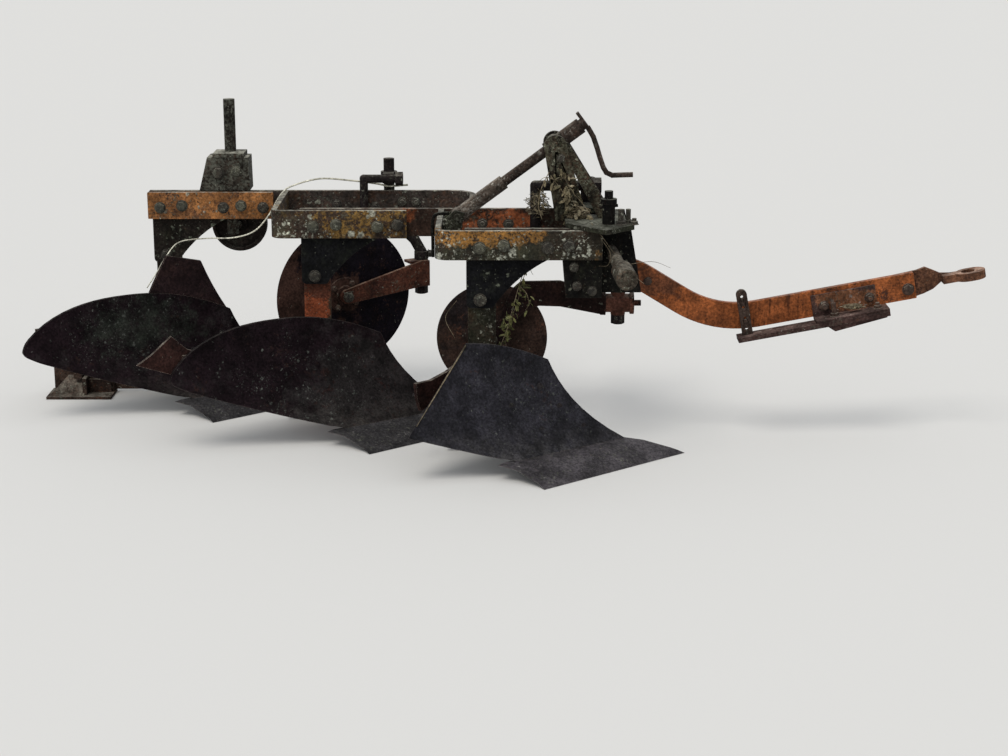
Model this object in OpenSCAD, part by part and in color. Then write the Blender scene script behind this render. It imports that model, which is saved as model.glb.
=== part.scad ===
// Three furrow moldboard plough, right hand, with a towing drawbar.
// Millimetres. +X is the direction of travel, +Y is the plough's left, +Z is up.
// Sizes are written from a corner of the front body: x = 0 at the rear edge of its
// shank, y = 0 at the near face of its frame bars, z = 0 on the ground. The whole
// plough is then moved so that the origin is at the middle of its footprint.

/* [Layout] */
// Distance from one plough body to the next, back along the direction of travel
body_pitch = 500; // [460:5:560]
// Distance from one plough body to the next across it, the width of a furrow
furrow_w = 330; // [310:5:360]
// Height of the frame bars' underside above the ground
bar_z = 572; // [560:2:640]

/* [Frame bars] */
// Height of a frame bar, which stands on edge
bar_h = 84; // [76:1:96]
// Thickness of a frame bar
bar_t = 18; // [14:1:20]
// Inner radius of the corners of the two bars that are bent at their rear end
bend_r = 20; // [10:1:40]
// Inner radius of the corner at the front of the rear body's far bar
front_bend_r = 60; // [30:5:90]
// Front end of the front body's bars, ahead of its shank's rear edge
front_bar_end = 385; // [370:1:395]
// Room between the middle body's near bar and the front body's cross run
mid_bar_gap = 94; // [60:1:120]
// Room between the rear body's near bar and the middle body's cross run
rear_bar_gap = 28; // [6:1:60]
// How far a bent bar's cross run lies behind the shank's rear edge
cross_back = 89; // [80:1:110]
// How far the far bars start behind a shank's rear edge
far_bar_back = 5; // [2:1:20]
// Front face of the cross run that joins the rear body's far bar to the middle one's
front_cross_x = 18; // [0:2:60]

/* [Shanks] */
// Width of a shank's leg, along the direction of travel
shank_w = 82; // [70:1:95]
// Length of a shank's flange between the frame bars
shank_flange = 235; // [200:5:250]
// Height of a shank's lower end above the ground
shank_z = 430; // [400:5:450]
// Radius of a shank's rounded lower corners
shank_corner_r = 14; // [6:1:25]
// Height at which the throat curve starts on a shank's front edge
throat_z = 442; // [435:1:470]
// How far the throat curve bows away from its chord
throat_bow = 12; // [4:1:20]

/* [Plough bottom] */
// Share point, ahead of the shank's rear edge
tip_x = 632; // [600:2:660]
// Landside edge of share and moldboard, left of the bars' near face
shin_y = 20; // [16:1:24]
// Height of the joint between share and moldboard
joint_z = 45; // [40:1:50]
// Length of the share's cutting edge
share_edge = 541; // [520:1:580]
// Length of the share along its joint with the moldboard
share_top = 458; // [430:2:480]
// Thickness of the share, measured level
share_t = 26; // [18:1:26]
// How far the back of the share's wing end is cut away behind its face
wing_bevel = 30; // [10:1:40]
// Thickness of the moldboard, measured level
board_t = 11; // [8:1:14]
// Length of the moldboard from its shin to its tail
board_len = 708; // [680:4:740]
// Height of the moldboard's front corner
board_front_z = 280; // [260:2:300]
// Height of the moldboard's highest point
board_top_z = 357; // [340:1:380]
// Distance of the highest point from the shin
board_top_t = 300; // [260:5:340]
// Height of the top edge at the tail
board_tail_z = 229; // [222:1:245]
// Distance along the moldboard at which its lower edge starts to rise
board_rise_t = 400; // [370:5:430]
// Rise of the lower edge for each unit of length after that
board_rise = 0.508; // [0.46:0.01:0.52]

/* [Landsides] */
// Thickness of a landside
landside_t = 12; // [8:1:16]
// Height of a landside's top edge
landside_h = 118; // [90:2:122]
// Rear end of the long rear landside, behind the shank's rear edge
long_landside = 345; // [300:5:380]
// Rear end of the two short landsides, behind the shank's rear edge
short_landside = 60; // [40:5:150]
// Front end of the landsides
landside_front = 455; // [420:5:470]
// Length of the heel's sole plate
heel_len = 206; // [200:2:260]
// Width of the heel's sole plate
heel_w = 112; // [90:2:120]
// Thickness of the heel's sole plate
heel_t = 8; // [5:1:8]

/* [Coulters] */
// Radius of the rear disc coulter
rear_disc_r = 226; // [210:1:230]
// Radius of the middle disc coulter, which is worn smaller
mid_disc_r = 169; // [150:1:190]
// Thickness of a coulter disc
disc_t = 6; // [4:0.5:8]
// Diameter of a coulter stem
stem_d = 34; // [28:1:36]
// Diameter of the swivel pin at the foot of a stem
swivel_d = 24; // [20:1:26]
// Swing of the rear coulter out of the line of travel, as it was left
rear_yaw = 28; // [0:1:30]
// Length of the rear coulter's arm, from swivel to disc centre
rear_arm = 271; // [255:1:285]
// Length of the middle coulter's arm, from swivel to disc centre
mid_arm = 384; // [370:1:395]
// Diameter of the spindles that the discs turn on
axle_d = 20; // [16:1:24]

/* [Depth wheel] */
// Radius of the depth wheel
wheel_r = 88; // [80:1:95]
// Width of the depth wheel's rim
wheel_w = 40; // [30:1:46]
// Diameter of the depth wheel's upright spindle
spindle_d = 36; // [30:1:44]
// Height of the spindle's top
spindle_top = 939; // [880:1:980]

/* [Headstock and mast] */
// Thickness of the headstock's top plate
top_plate_t = 14; // [10:1:18]
// Thickness of the headstock's cheek plates
cheek_t = 14; // [10:1:16]
// Thickness of the mast plates
mast_t = 12; // [8:1:14]
// Clear width between the two mast plates
mast_gap = 80; // [72:1:100]
// Mast head, ahead of the front shank's rear edge
mast_x = 254; // [246:1:260]
// Height of the mast head's centre
mast_z = 871; // [850:1:880]
// Outer diameter of the adjusting tube
tube_d = 42; // [36:1:46]
// Diameter of the sliding rod inside the adjusting tube
rod_d = 30; // [24:1:32]
// Slope of the adjusting tube in degrees
tube_slope = 36.4; // [34:0.2:38]
// Diameter of the crank handle's bar
crank_d = 15; // [12:1:18]

/* [Lower link pins] */
// Diameter of a lower link pin
link_d = 36; // [28:1:38]
// Diameter of the sleeve on a lower link pin
sleeve_d = 60; // [50:1:64]
// Length of the sleeve on a lower link pin
sleeve_len = 80; // [60:2:100]
// Reach of a lower link pin from its cheek plate
link_reach = 254; // [230:2:270]

/* [Drawbar] */
// Height of the drawbar
drawbar_h = 78; // [70:1:84]
// Thickness of the drawbar
drawbar_t = 20; // [14:1:24]
// Front end of the drawbar, ahead of the front shank's rear edge
drawbar_end = 1312; // [1290:1:1340]
// Bore of the towing eye
eye_bore = 40; // [34:1:44]
// Width of the towing eye
eye_w = 72; // [66:1:80]
// Thickness of the towing eye
eye_t = 24; // [14:1:28]

/* [Hidden] */
$fn = 48;

// Running and seating clearances
seat = 0.3;
run = 0.05;
eps = 0.01;

// Derived positions
bar_top = bar_z + bar_h;
gap_y = bar_t;
far_y = 2 * bar_t;
sandwich = 3 * bar_t;
mid_y = furrow_w;
rear_y = 2 * furrow_w;
mid_x = -body_pitch;
mid_bar_end = body_pitch - cross_back - mid_bar_gap;
rear_bar_end = body_pitch - cross_back - rear_bar_gap;
rear_x = -2 * body_pitch;
landside_y = 42;
landside_out = landside_y + landside_t;
head_y = (sandwich + mid_y + far_y) / 2;
// Stems and spindle stand this far beyond the near face of their body's bars
stem_out = 82;
spindle_y = rear_y + stem_out;
wheel_room = 12;
wheel_y = spindle_y + spindle_d / 2 + wheel_room;
axle_end = 14;
head_in = sandwich;
head_out = mid_y + far_y;
tube_foot_x = -27;
eye_x = 1468;
lug = 14;
heel_past = 7;
share_angle = 40;

// Extent of the footprint, which places the origin
x_front = eye_x + lug + eye_w / 2;
x_rear = rear_x - long_landside - heel_past;
y_near = shin_y - share_edge * sin(share_angle);
y_far = wheel_y + wheel_w + axle_end;
origin_x = (x_front + x_rear) / 2;
origin_y = (y_near + y_far) / 2;

paint = "darkorange";
rust = "saddlebrown";
dark = [0.16, 0.13, 0.12];
steel = [0.35, 0.32, 0.3];

// Puts a piece that is written from the front body's corner into the row's frame
module place(x = 0, y = 0, z = 0) {
    translate([x - origin_x, y - origin_y, z]) children();
}

// A plate standing along the direction of travel: an outline in x and z, from y0 to y1
module upright_plate(outline, y0, y1) {
    translate([0, y1, 0])
        rotate([90, 0, 0])
            linear_extrude(y1 - y0) polygon(outline);
}

// A disc or pin whose axis lies across the direction of travel
module cross_pin(x, z, y0, y1, d) {
    translate([x, y1, z])
        rotate([90, 0, 0])
            cylinder(h = y1 - y0, d = d);
}

// A block between two corners
module block(low, high) {
    translate(low) cube(high - low);
}

// Round bar along a list of points, with a ball at each corner between straight runs
ball_over = 0.6;
module round_bar(points, d) {
    for (i = [0 : len(points) - 2]) {
        run_vec = points[i + 1] - points[i];
        run_len = norm(run_vec);
        translate(points[i])
            rotate([0, acos(run_vec[2] / run_len), atan2(run_vec[1], run_vec[0])])
                cylinder(h = run_len, d = d);
    }
    for (i = [1 : 1 : len(points) - 2])
        translate(points[i]) sphere(d = d + ball_over);
}

// Points on an arc from a to b that bows by bow to the left of the chord
function bow_arc(a, b, bow, n = 8) =
    let (chord = norm(b - a),
         r = (chord * chord / 4 + bow * bow) / (2 * abs(bow)),
         mid = (a + b) / 2,
         dir = (b - a) / chord,
         left = [-dir[1], dir[0]],
         centre = mid - left * (r - abs(bow)) * sign(bow),
         a0 = atan2(a[1] - centre[1], a[0] - centre[0]),
         sweep = 2 * asin(chord / 2 / r) * -sign(bow))
    [for (i = [0 : n]) centre + r * [cos(a0 + sweep * i / n), sin(a0 + sweep * i / n)]];

// Frame bars

// A quarter bend of a bar on edge about a centre in plan; sx and sy pick the quadrant
module bar_bend(centre, inner, sx, sy) {
    outer = inner + bar_t;
    translate([centre[0], centre[1], bar_z])
        linear_extrude(bar_h)
            intersection() {
                difference() {
                    circle(r = outer);
                    circle(r = inner);
                }
                translate([sx > 0 ? 0 : -outer, sy > 0 ? 0 : -outer])
                    square(outer);
            }
}

module bar(x0, x1, y0) {
    block([x0, y0, bar_z], [x1, y0 + bar_t, bar_top]);
}

// A near bar with its rear end bent away across the frame to the next body's far bar
module bent_near_bar(front_end) {
    cross_x = -cross_back;
    bend_x = cross_x + bar_t + bend_r;
    bend_y = bar_t + bend_r;
    bar(bend_x, front_end, 0);
    bar_bend([bend_x, bend_y], bend_r, -1, -1);
    block([cross_x, bend_y, bar_z], [cross_x + bar_t, furrow_w + far_y, bar_top]);
}

module beam_front_near() {
    color(paint) place() bent_near_bar(front_bar_end);
}

module beam_front_far() {
    color(paint) place() bar(-far_bar_back, front_bar_end, far_y);
}

module beam_mid_near() {
    color(paint) place(mid_x, mid_y) bent_near_bar(mid_bar_end);
}

module beam_mid_far() {
    color(rust) place() bar(mid_x - far_bar_back, front_bar_end, mid_y + far_y);
}

// The rear body's bars end a little behind its shank
rear_past = 11;
module beam_rear_near() {
    color(paint) place(rear_x, rear_y) bar(-rear_past, rear_bar_end, 0);
}

// The rear body's far bar runs forward past the middle body and bends back to it
module beam_rear_far() {
    bend_x = front_cross_x - bar_t - front_bend_r;
    bend_y = rear_y + far_y - front_bend_r;
    color(rust) place() {
        bar(rear_x - rear_past, bend_x, rear_y + far_y);
        bar_bend([bend_x, bend_y], front_bend_r, 1, 1);
        block([front_cross_x - bar_t, mid_y + far_y + bar_t, bar_z],
              [front_cross_x, bend_y, bar_top]);
    }
}

// Packing between near and far bars ahead of the middle and rear shanks.
// Columns: body's x, body's y, front end of its near bar
spacer_table = [[mid_x, mid_y, mid_bar_end], [rear_x, rear_y, rear_bar_end]];
spacer_room = 12;
spacer_end = 6;
edge_step = 4;
module beam_spacers() {
    color(dark)
        for (s = spacer_table)
            place(s[0], s[1])
                block([shank_flange + spacer_room, gap_y, bar_z + edge_step],
                      [s[2] - spacer_end, far_y, bar_top - edge_step]);
}

// Plate between the front bars that hangs below them
hanger_z = 460;
hanger_back = 103;
hanger_step = 10;
module hanger_plate() {
    low_x = front_bar_end - hanger_back;
    high_z = bar_top - spacer_end;
    color(dark) place()
        upright_plate([[low_x, hanger_z], [front_bar_end, hanger_z], [front_bar_end, high_z],
                       [low_x - hanger_step, high_z], [low_x - hanger_step, bar_z]],
                      gap_y, far_y);
}

// Shanks

module shank() {
    r = shank_corner_r;
    throat = bow_arc([shank_w, throat_z], [shank_flange, bar_z], throat_bow);
    lower = concat(
        [for (a = [180 : 15 : 270]) [r + r * cos(a), shank_z + r + r * sin(a)]],
        [for (a = [270 : 15 : 360]) [shank_w - r + r * cos(a), shank_z + r + r * sin(a)]]);
    outline = concat(lower, throat,
                     [[shank_flange, bar_top - edge_step], [0, bar_top - edge_step]]);
    upright_plate(outline, gap_y, far_y);
}

// The plough bottom's working face: level straight lines that start at the shin
// and run back and to the right, turning a little straighter with height

// Shin, which is also the left edge of the share's nose
nose = [[0, 0], [11, 26], [36, 112], [44, 170]];
function shin_back(z) =
    z < 44 ? lookup(z, nose) : 462.5 - 386 * exp(-z / 156);
top_angle = 30;
function line_angle(z) = top_angle + (share_angle - top_angle) * exp(-z / 90);
function board_point(z, t) = [tip_x - shin_back(z) - t * cos(line_angle(z)),
                          shin_y - t * sin(line_angle(z)), z];
// The same point moved level towards the back of the sheet
function behind(z, t, depth) =
    board_point(z, t) + depth * [-sin(line_angle(z)), cos(line_angle(z)), 0];

// Outline of the moldboard: heights of its edges at a distance from the shin
tail_round = 34;
front_drop = board_top_z - board_front_z;
tail_drop = board_top_z - board_tail_z;
function edge_top(t) = t < board_top_t
    ? board_top_z - front_drop * pow((board_top_t - t) / board_top_t, 2.2)
    : board_top_z - tail_drop * pow((t - board_top_t) / (board_len - board_top_t), 2.4);
function edge_bottom(t) =
    joint_z + seat + board_rise * max(0, t - board_rise_t);
// Share of the full height that is left near the rounded tail
function tail_part(t) =
    let (e = max(0, (t - board_len + tail_round) / tail_round))
    0.3 + 0.7 * sqrt(max(0, 1 - e * e));
function board_z(t, f) =
    let (low = edge_bottom(t), high = edge_top(t), mid = (low + high) / 2,
         half = (high - low) / 2 * tail_part(t))
    mid + half * (2 * f - 1);

// A curved sheet between two grids of points, each a list of equal rows
module sheet(front, back) {
    n = len(front);
    m = len(front[0]);
    points = [for (g = [front, back]) for (row = g) for (p = row) p];
    function at(g, i, j) = g * n * m + i * m + j;
    function quad(a, b, c, d) = [[a, b, c], [a, c, d]];
    faces = concat(
        [for (i = [0 : n - 2]) for (j = [0 : m - 2]) for (q =
            quad(at(0, i, j), at(0, i, j + 1), at(0, i + 1, j + 1), at(0, i + 1, j))) q],
        [for (i = [0 : n - 2]) for (j = [0 : m - 2]) for (q =
            quad(at(1, i, j), at(1, i + 1, j), at(1, i + 1, j + 1), at(1, i, j + 1))) q],
        [for (j = [0 : m - 2]) for (q =
            quad(at(0, 0, j), at(1, 0, j), at(1, 0, j + 1), at(0, 0, j + 1))) q],
        [for (j = [0 : m - 2]) for (q =
            quad(at(0, n - 1, j + 1), at(1, n - 1, j + 1), at(1, n - 1, j), at(0, n - 1, j))) q],
        [for (i = [0 : n - 2]) for (q =
            quad(at(0, i + 1, 0), at(1, i + 1, 0), at(1, i, 0), at(0, i, 0))) q],
        [for (i = [0 : n - 2]) for (q =
            quad(at(0, i, m - 1), at(1, i, m - 1), at(1, i + 1, m - 1), at(0, i + 1, m - 1))) q]);
    polyhedron(points, faces, convexity = 6);
}

board_rows = 8;
board_cols = 24;
// Columns crowd towards the rounded tail
function board_t_at(j) =
    let (u = j / board_cols)
    u < 0.8 ? u / 0.8 * (board_len - tail_round)
            : board_len - tail_round + tail_round * sin((u - 0.8) / 0.2 * 90);

module moldboard() {
    front = [for (i = [0 : board_rows]) [for (j = [0 : board_cols])
        let (t = board_t_at(j), z = board_z(t, i / board_rows)) board_point(z, t)]];
    back = [for (i = [0 : board_rows]) [for (j = [0 : board_cols])
        let (t = board_t_at(j), z = board_z(t, i / board_rows)) behind(z, t, board_t)]];
    sheet(front, back);
}

// The front body's moldboard has lost its tail along a straight leaning joint
broken_at = [1, -98, 357];
broken_normal = [-0.854, 0.107, 0.508];
module broken_moldboard() {
    difference() {
        moldboard();
        translate(broken_at)
            rotate([0, acos(broken_normal[2] / norm(broken_normal)),
                    atan2(broken_normal[1], broken_normal[0])])
                translate([-board_len, -board_len, 0])
                    cube(2 * board_len);
    }
}

share_cols = 6;
function share_len(z) = share_edge + (share_top - share_edge) * z / joint_z;

// The share is full depth over its cutting edge and meets the thinner moldboard above
function share_depth(z) = lookup(z, [[0, share_t - 6], [11, share_t], [joint_z, board_t + 3]]);

module share() {
    rows = [0, 6, 11, 20, 28, 36, joint_z];
    front = [for (z = rows) [for (j = [0 : share_cols])
        board_point(z, share_len(z) * j / share_cols)]];
    back = [for (z = rows) [for (j = [0 : share_cols])
        behind(z, (share_len(z) - wing_bevel) * j / share_cols, share_depth(z))]];
    sheet(front, back);
}

// Extra board above the rear body's moldboard, on the same face: it stands on the
// moldboard's top edge and narrows upwards
trash_low = [10, 241];
trash_high = [49, 157];
trash_front_z = 440;
trash_back_z = 466;
module trash_sheet() {
    rows = 4;
    cols = 8;
    function at(i, j, depth) =
        let (f = i / rows, g = j / cols,
             t0 = trash_low[0] + (trash_low[1] - trash_low[0]) * g,
             t1 = trash_high[0] + (trash_high[1] - trash_high[0]) * g,
             z1 = trash_front_z + (trash_back_z - trash_front_z) * g,
             t = t0 + (t1 - t0) * f)
        behind(edge_top(t0) + seat + (z1 - edge_top(t0) - seat) * f, t, depth);
    sheet([for (i = [0 : rows]) [for (j = [0 : cols]) at(i, j, 0)]],
          [for (i = [0 : rows]) [for (j = [0 : cols]) at(i, j, board_t)]]);
}

// Frog: an upright behind the shank, and a stepped casting that backs share and moldboard.
// Each step is bottom, top, how far it reaches along the sheet, and the sheet's depth.
frog_steps = [[heel_t, joint_z - 1, 250, share_t], [joint_z - 1, 100, 215, board_t],
              [100, 170, 150, board_t], [170, 235, 90, board_t]];
frog_t = 14;
frog_x = 4;
frog_low = landside_h + 8;
frog_shoulder = 500;
frog_high = bar_z - 20;
frog_taper = 14;
frog_in = 10;
frog_root_x = 12;
frog_lip = [30, 6];
module frog() {
    right = shank_w + frog_x / 2;
    upright_plate([[frog_x, frog_low], [right, frog_low], [right, frog_shoulder],
                   [right - frog_taper, frog_high], [frog_x + frog_taper, frog_high],
                   [frog_x, frog_shoulder]], far_y, far_y + frog_t);
    for (s = frog_steps) {
        a = behind(s[1], frog_in, s[3] + seat);
        b = behind(s[1], s[2], s[3] + seat);
        translate([0, 0, s[0]])
            linear_extrude(s[1] - s[0])
                polygon([[a[0], landside_y], [a[0], a[1]], [b[0], b[1]],
                         [b[0] - frog_lip[0], b[1] + frog_lip[1]],
                         [frog_root_x, far_y - frog_in], [frog_root_x, landside_y]]);
    }
}

landside_nose = 12;
landside_slant = 150;
module landside(rear_end, low) {
    upright_plate([[-rear_end, low], [landside_front - landside_nose, low],
                   [landside_front, low + landside_nose],
                   [landside_front - landside_slant, landside_h], [-rear_end, landside_h]],
                  landside_y, landside_out);
}

// Heel of the rear landside: a sole plate with ribs, a leaning web and a round boss.
// Columns of the ribs: place from the sole's end, length, top, near side from the sole's edge
heel_ribs = [[112, 13, 62, 22], [126, 70, 50, 60], [126, 76, 58, 74]];
web_t = 8;
web_in = 8;
web_lean = 38;
web_outline = [[6, 0], [118, 0], [112, 52], [84, 88], [58, 88]];
boss_x = 94;
boss_z = 66;
boss_d = 28;
boss_len = 52;
module heel_body() {
    x0 = -long_landside - heel_past;
    y0 = landside_out - heel_w;
    block([x0, y0, 0], [x0 + heel_len, landside_out, heel_t]);
    for (rib = heel_ribs)
        translate([x0 + rib[0], 0, 0])
            block([0, y0 + rib[3], heel_t - eps], [rib[1], landside_y, rib[2]]);
    translate([x0, y0 + web_in + web_t, heel_t - web_t])
        rotate([web_lean, 0, 0]) linear_extrude(web_t) polygon(web_outline);
    cross_pin(x0 + boss_x, boss_z, landside_y - boss_len, landside_y, boss_d);
}

// Stay from the frog's upright to the back of the moldboard
stay_h = 44;
stay_t = 10;
stay_start = [0.1, 41];
module stay_bar(end_x, end_y, z0, z1) {
    run_vec = [end_x, end_y] - stay_start;
    len_plan = norm(run_vec);
    drop = atan2(z1 - z0, len_plan);
    translate([stay_start[0], stay_start[1], z0])
        rotate([0, 0, atan2(run_vec[1], run_vec[0])])
            rotate([0, -drop, 0])
                translate([0, -stay_t / 2, -stay_h / 2])
                    cube([len_plan / cos(drop), stay_t, stay_h]);
}

pad_z = 262;
pad_t = 590;
pad_half = 38;
pad_thick = 9;
stay_root_z = 300;
stay_end = [4, 3];
module stay_to_tail() {
    depth = board_t + seat;
    high = pad_z + stay_h / 2;
    foot = behind(high, pad_t, depth);
    turn = line_angle(high);
    translate([foot[0], foot[1], pad_z - stay_h / 2])
        rotate([0, 0, turn])
            block([-pad_half, 0, 0], [pad_half, pad_thick, stay_h]);
    goal = behind(high, pad_t, depth + pad_thick);
    stay_bar(goal[0] + stay_end[0], goal[1] + stay_end[1], stay_root_z, pad_z);
}

// The middle body's stay ends in a fin that shows behind the tail
fin_t = 636;
fin_outline = [[52, 240], [-20, 228], [-128, 270], [-84, 296], [-22, 344], [24, 300], [52, 290]];
module tail_fin() {
    high = pad_z + stay_h / 2;
    foot = behind(high, fin_t, board_t + seat + pad_thick);
    translate([foot[0], foot[1], 0])
        rotate([0, 0, line_angle(high)])
            upright_plate(fin_outline, 0, pad_thick);
}

// Headstock

cheek_rear = 300;
cheek_low = 468;
cheek_toe = 499;
cheek_top = 467;
cheek_outline = [[cheek_rear, cheek_low], [cheek_toe, cheek_low], [cheek_top, bar_top - seat],
                 [cheek_rear, bar_top - seat]];
module cheek_near() {
    color(dark) place() upright_plate(cheek_outline, head_in, head_in + cheek_t);
}
module cheek_far() {
    color(dark) place() upright_plate(cheek_outline, head_out - cheek_t, head_out);
}

bars_low = 590;
front_cross = [425, 460];
rear_cross = [306, 336];
bed_half = 60;
bed_t = 16;
module headstock_bars() {
    y0 = head_in + cheek_t;
    y1 = head_out - cheek_t;
    color(dark) place() {
        for (c = [front_cross, rear_cross])
            block([c[0], y0, bars_low], [c[1], y1, bar_top]);
        block([rear_cross[1], head_y - bed_half, bar_top - bed_t],
              [front_cross[0], head_y + bed_half, bar_top]);
    }
}

// Top plates: the near one has a pointed nose over the lower link pin, the far one is plain.
// The far one has a hole for the middle coulter's stem.
top_rear = 282;
top_near_outline = [[top_rear, 48], [390, -65], [475, 20], [452, 52], [432, 120], [top_rear, 120]];
top_far_y = 300;
top_far_x = 398;
top_far_past = 70;
stem_room = 4;
module headstock_top() {
    color(dark) place()
        translate([0, 0, bar_top + seat])
            difference() {
                linear_extrude(top_plate_t) {
                    polygon(top_near_outline);
                    polygon([[top_rear, top_far_y], [top_far_x, top_far_y],
                             [top_far_x, head_out + top_far_past],
                             [top_rear, head_out + top_far_past]]);
                }
                translate([mid_stem[0], mid_stem[1], -1])
                    cylinder(h = top_plate_t + 2, d = stem_d + stem_room);
            }
}

// Mast

plate_z = bar_top + seat + top_plate_t;
mast_low = bar_top + seat;
head_r = 33;
mast_in = head_y - mast_gap / 2;
mast_out = head_y + mast_gap / 2;
mast_foot = [256, 346];
module mast_plate(y0) {
    difference() {
        union() {
            upright_plate([[mast_foot[0], mast_low], [mast_foot[1], mast_low],
                           [mast_x + head_r, mast_z], [mast_x - head_r, mast_z]],
                          y0, y0 + mast_t);
            cross_pin(mast_x, mast_z, y0, y0 + mast_t, 2 * head_r);
        }
        cross_pin(mast_x, mast_z, y0 - 1, y0 + mast_t + 1, trunnion_pin_d + 2 * run);
    }
}
module mast_near() {
    color(steel) place() mast_plate(mast_in - mast_t);
}
module mast_far() {
    color(steel) place() mast_plate(mast_out);
}

// Braces inside the mast plates, from below the head down to the top plate's front
brace_t = 11;
brace_foot = [382, 430];
brace_head = [[37, 10], [22, 12], [22, -16]];
module mast_braces() {
    outline = concat([for (x = brace_foot) [x, mast_low]],
                     [for (p = brace_head) [mast_x + p[0], mast_z + p[1]]]);
    color(dark) place() {
        upright_plate(outline, mast_in, mast_in + brace_t);
        upright_plate(outline, mast_out - brace_t, mast_out);
    }
}

// Trunnion that the adjusting rod passes through, carried by the two mast plates
trunnion_pin_d = 26;
trunnion_d = 54;
module along_tube(distance) {
    translate([mast_x, head_y, mast_z])
        rotate([0, 90 - tube_slope, 0])
            translate([0, 0, distance]) children();
}
brace_room = brace_t + 1;
block_half = 30;
block_wall = 8;
module trunnion() {
    color(rust) place()
        difference() {
            union() {
                cross_pin(mast_x, mast_z, mast_in - mast_t, mast_out + mast_t, trunnion_pin_d);
                cross_pin(mast_x, mast_z, mast_in + brace_room, mast_out - brace_room, trunnion_d);
                along_tube(-block_half)
                    cylinder(h = 2 * block_half, d = rod_d + 2 * block_wall);
            }
            along_tube(-2 * block_half) cylinder(h = 4 * block_half, d = rod_d + 2 * seat);
        }
}

// Adjusting tube: a wide sleeve below, the sliding rod through the trunnion, a housing above
tube_run = (mast_x - tube_foot_x) / cos(tube_slope);
tube_len = 165;
foot_pin_d = 20;
tube_floor = 30;
rod_in = 60;
housing_low = 32;
housing_top = 92;
housing_wall = 2;
module adjusting_tube() {
    color(rust) place()
        difference() {
            union() {
                along_tube(-tube_run) cylinder(h = tube_len, d = tube_d);
                along_tube(-tube_run) rotate([90, 0, 0])
                    translate([0, 0, -tube_d / 2]) cylinder(h = tube_d, d = tube_d);
            }
            along_tube(-tube_run) rotate([90, 0, 0])
                translate([0, 0, -tube_d]) cylinder(h = 2 * tube_d, d = foot_pin_d + 2 * run);
            along_tube(-tube_run + tube_floor) cylinder(h = tube_len, d = rod_d + 2 * run);
        }
}
module adjusting_rod() {
    color(steel) place() {
        along_tube(-tube_run + rod_in)
            cylinder(h = tube_run - rod_in + housing_low, d = rod_d);
        along_tube(housing_low)
            cylinder(h = housing_top - housing_low, d = tube_d + 2 * housing_wall);
    }
}

// Bracket that the tube's foot is pinned to, standing on the front body's cross run
ear_t = 10;
ear_gap = 1;
ear_low = bar_z + 10;
ear_head = [[12, -30], [20, 12], [-8, 20]];
ear_back_t = 12;
pin_out = 6;
module tube_bracket() {
    foot_x = mast_x - tube_run * cos(tube_slope);
    foot_z = mast_z - tube_run * sin(tube_slope);
    y0 = head_y - tube_d / 2 - ear_gap;
    y1 = head_y + tube_d / 2 + ear_gap;
    x0 = -cross_back + bar_t + seat;
    high = bar_top - edge_step;
    outline = concat([[x0, ear_low]], [for (p = ear_head) [foot_x + p[0], foot_z + p[1]]],
                     [[x0, high]]);
    color(dark) place() {
        upright_plate(outline, y0 - ear_t, y0);
        upright_plate(outline, y1, y1 + ear_t);
        block([x0, y0 - ear_t, ear_low], [x0 + ear_back_t, y1 + ear_t, high]);
        cross_pin(foot_x, foot_z, y0 - ear_t - pin_out, y1 + ear_t + pin_out, foot_pin_d);
    }
}

// Crank: a cross plate on the rod's end, an arm that curves down and a level grip.
// Columns: x and z from the mast's pin
crank_path = [[93, 51], [110, 22], [121, -9], [130, -39], [140, -67],
              [149, -82], [166, -90], [226, -88]];
crank_boss_d = 34;
crank_boss_len = 16;
crank_plate = [54, 24, 9];
crank_plate_back = -36;
module crank_handle() {
    color(rust) place() {
        along_tube(housing_top + seat) cylinder(h = crank_boss_len, d = crank_boss_d);
        along_tube(housing_top + crank_boss_len / 2)
            translate([crank_plate_back, -crank_plate[1] / 2, 0]) cube(crank_plate);
        round_bar([for (p = crank_path) [mast_x + p[0], head_y, mast_z + p[1]]], crank_d);
    }
}

// Upright pin with its nut on the headstock, which stands on the near top plate
// Columns: height above the plate, diameter, length
pin_place = [402, 36];
pin_steps = [[seat, 36, 58], [58, 46, 14], [72, 24, 22]];
module headstock_pin() {
    color(dark) place(pin_place[0], pin_place[1]) {
        for (s = pin_steps)
            translate([0, 0, plate_z + s[0]]) cylinder(h = s[2], d = s[1]);
    }
}

// Lower link pins, cranked a little forward and down
link_root = [412, 588];
link_ahead = 30;
link_drop = 29;
link_dir = [link_ahead, -link_reach, -link_drop];
link_len = norm(link_dir);
module link_pin() {
    intersection() {
        translate([link_root[0], 0, link_root[1]])
            rotate([0, acos(link_dir[2] / link_len), atan2(link_dir[1], link_dir[0])]) {
                translate([0, 0, -link_d / 2])
                    cylinder(h = link_len + link_d / 2 - 1, d = link_d);
                translate([0, 0, link_len - sleeve_len]) cylinder(h = sleeve_len, d = sleeve_d);
            }
        block([0, -2 * link_reach, 0], [2 * link_root[0], -seat, 2 * bar_z]);
    }
}
module link_pin_near() {
    color(steel) place(0, head_in) link_pin();
}
module link_pin_far() {
    color(steel) place(0, head_out) mirror([0, 1, 0]) link_pin();
}

// Drawbar

// The bar leaves the headstock level, bends down, runs straight and bends up again.
// Each run along its middle line has a length and a turn in degrees.
root_x = 318;
root_z = 510;
neck_slope = 10.6;
neck_runs = [[84, 0], [124, -31.4], [125, 0], [230, 31.4 + neck_slope]];
drawbar_y = head_y - drawbar_t / 2;
run_steps = 10;

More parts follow.
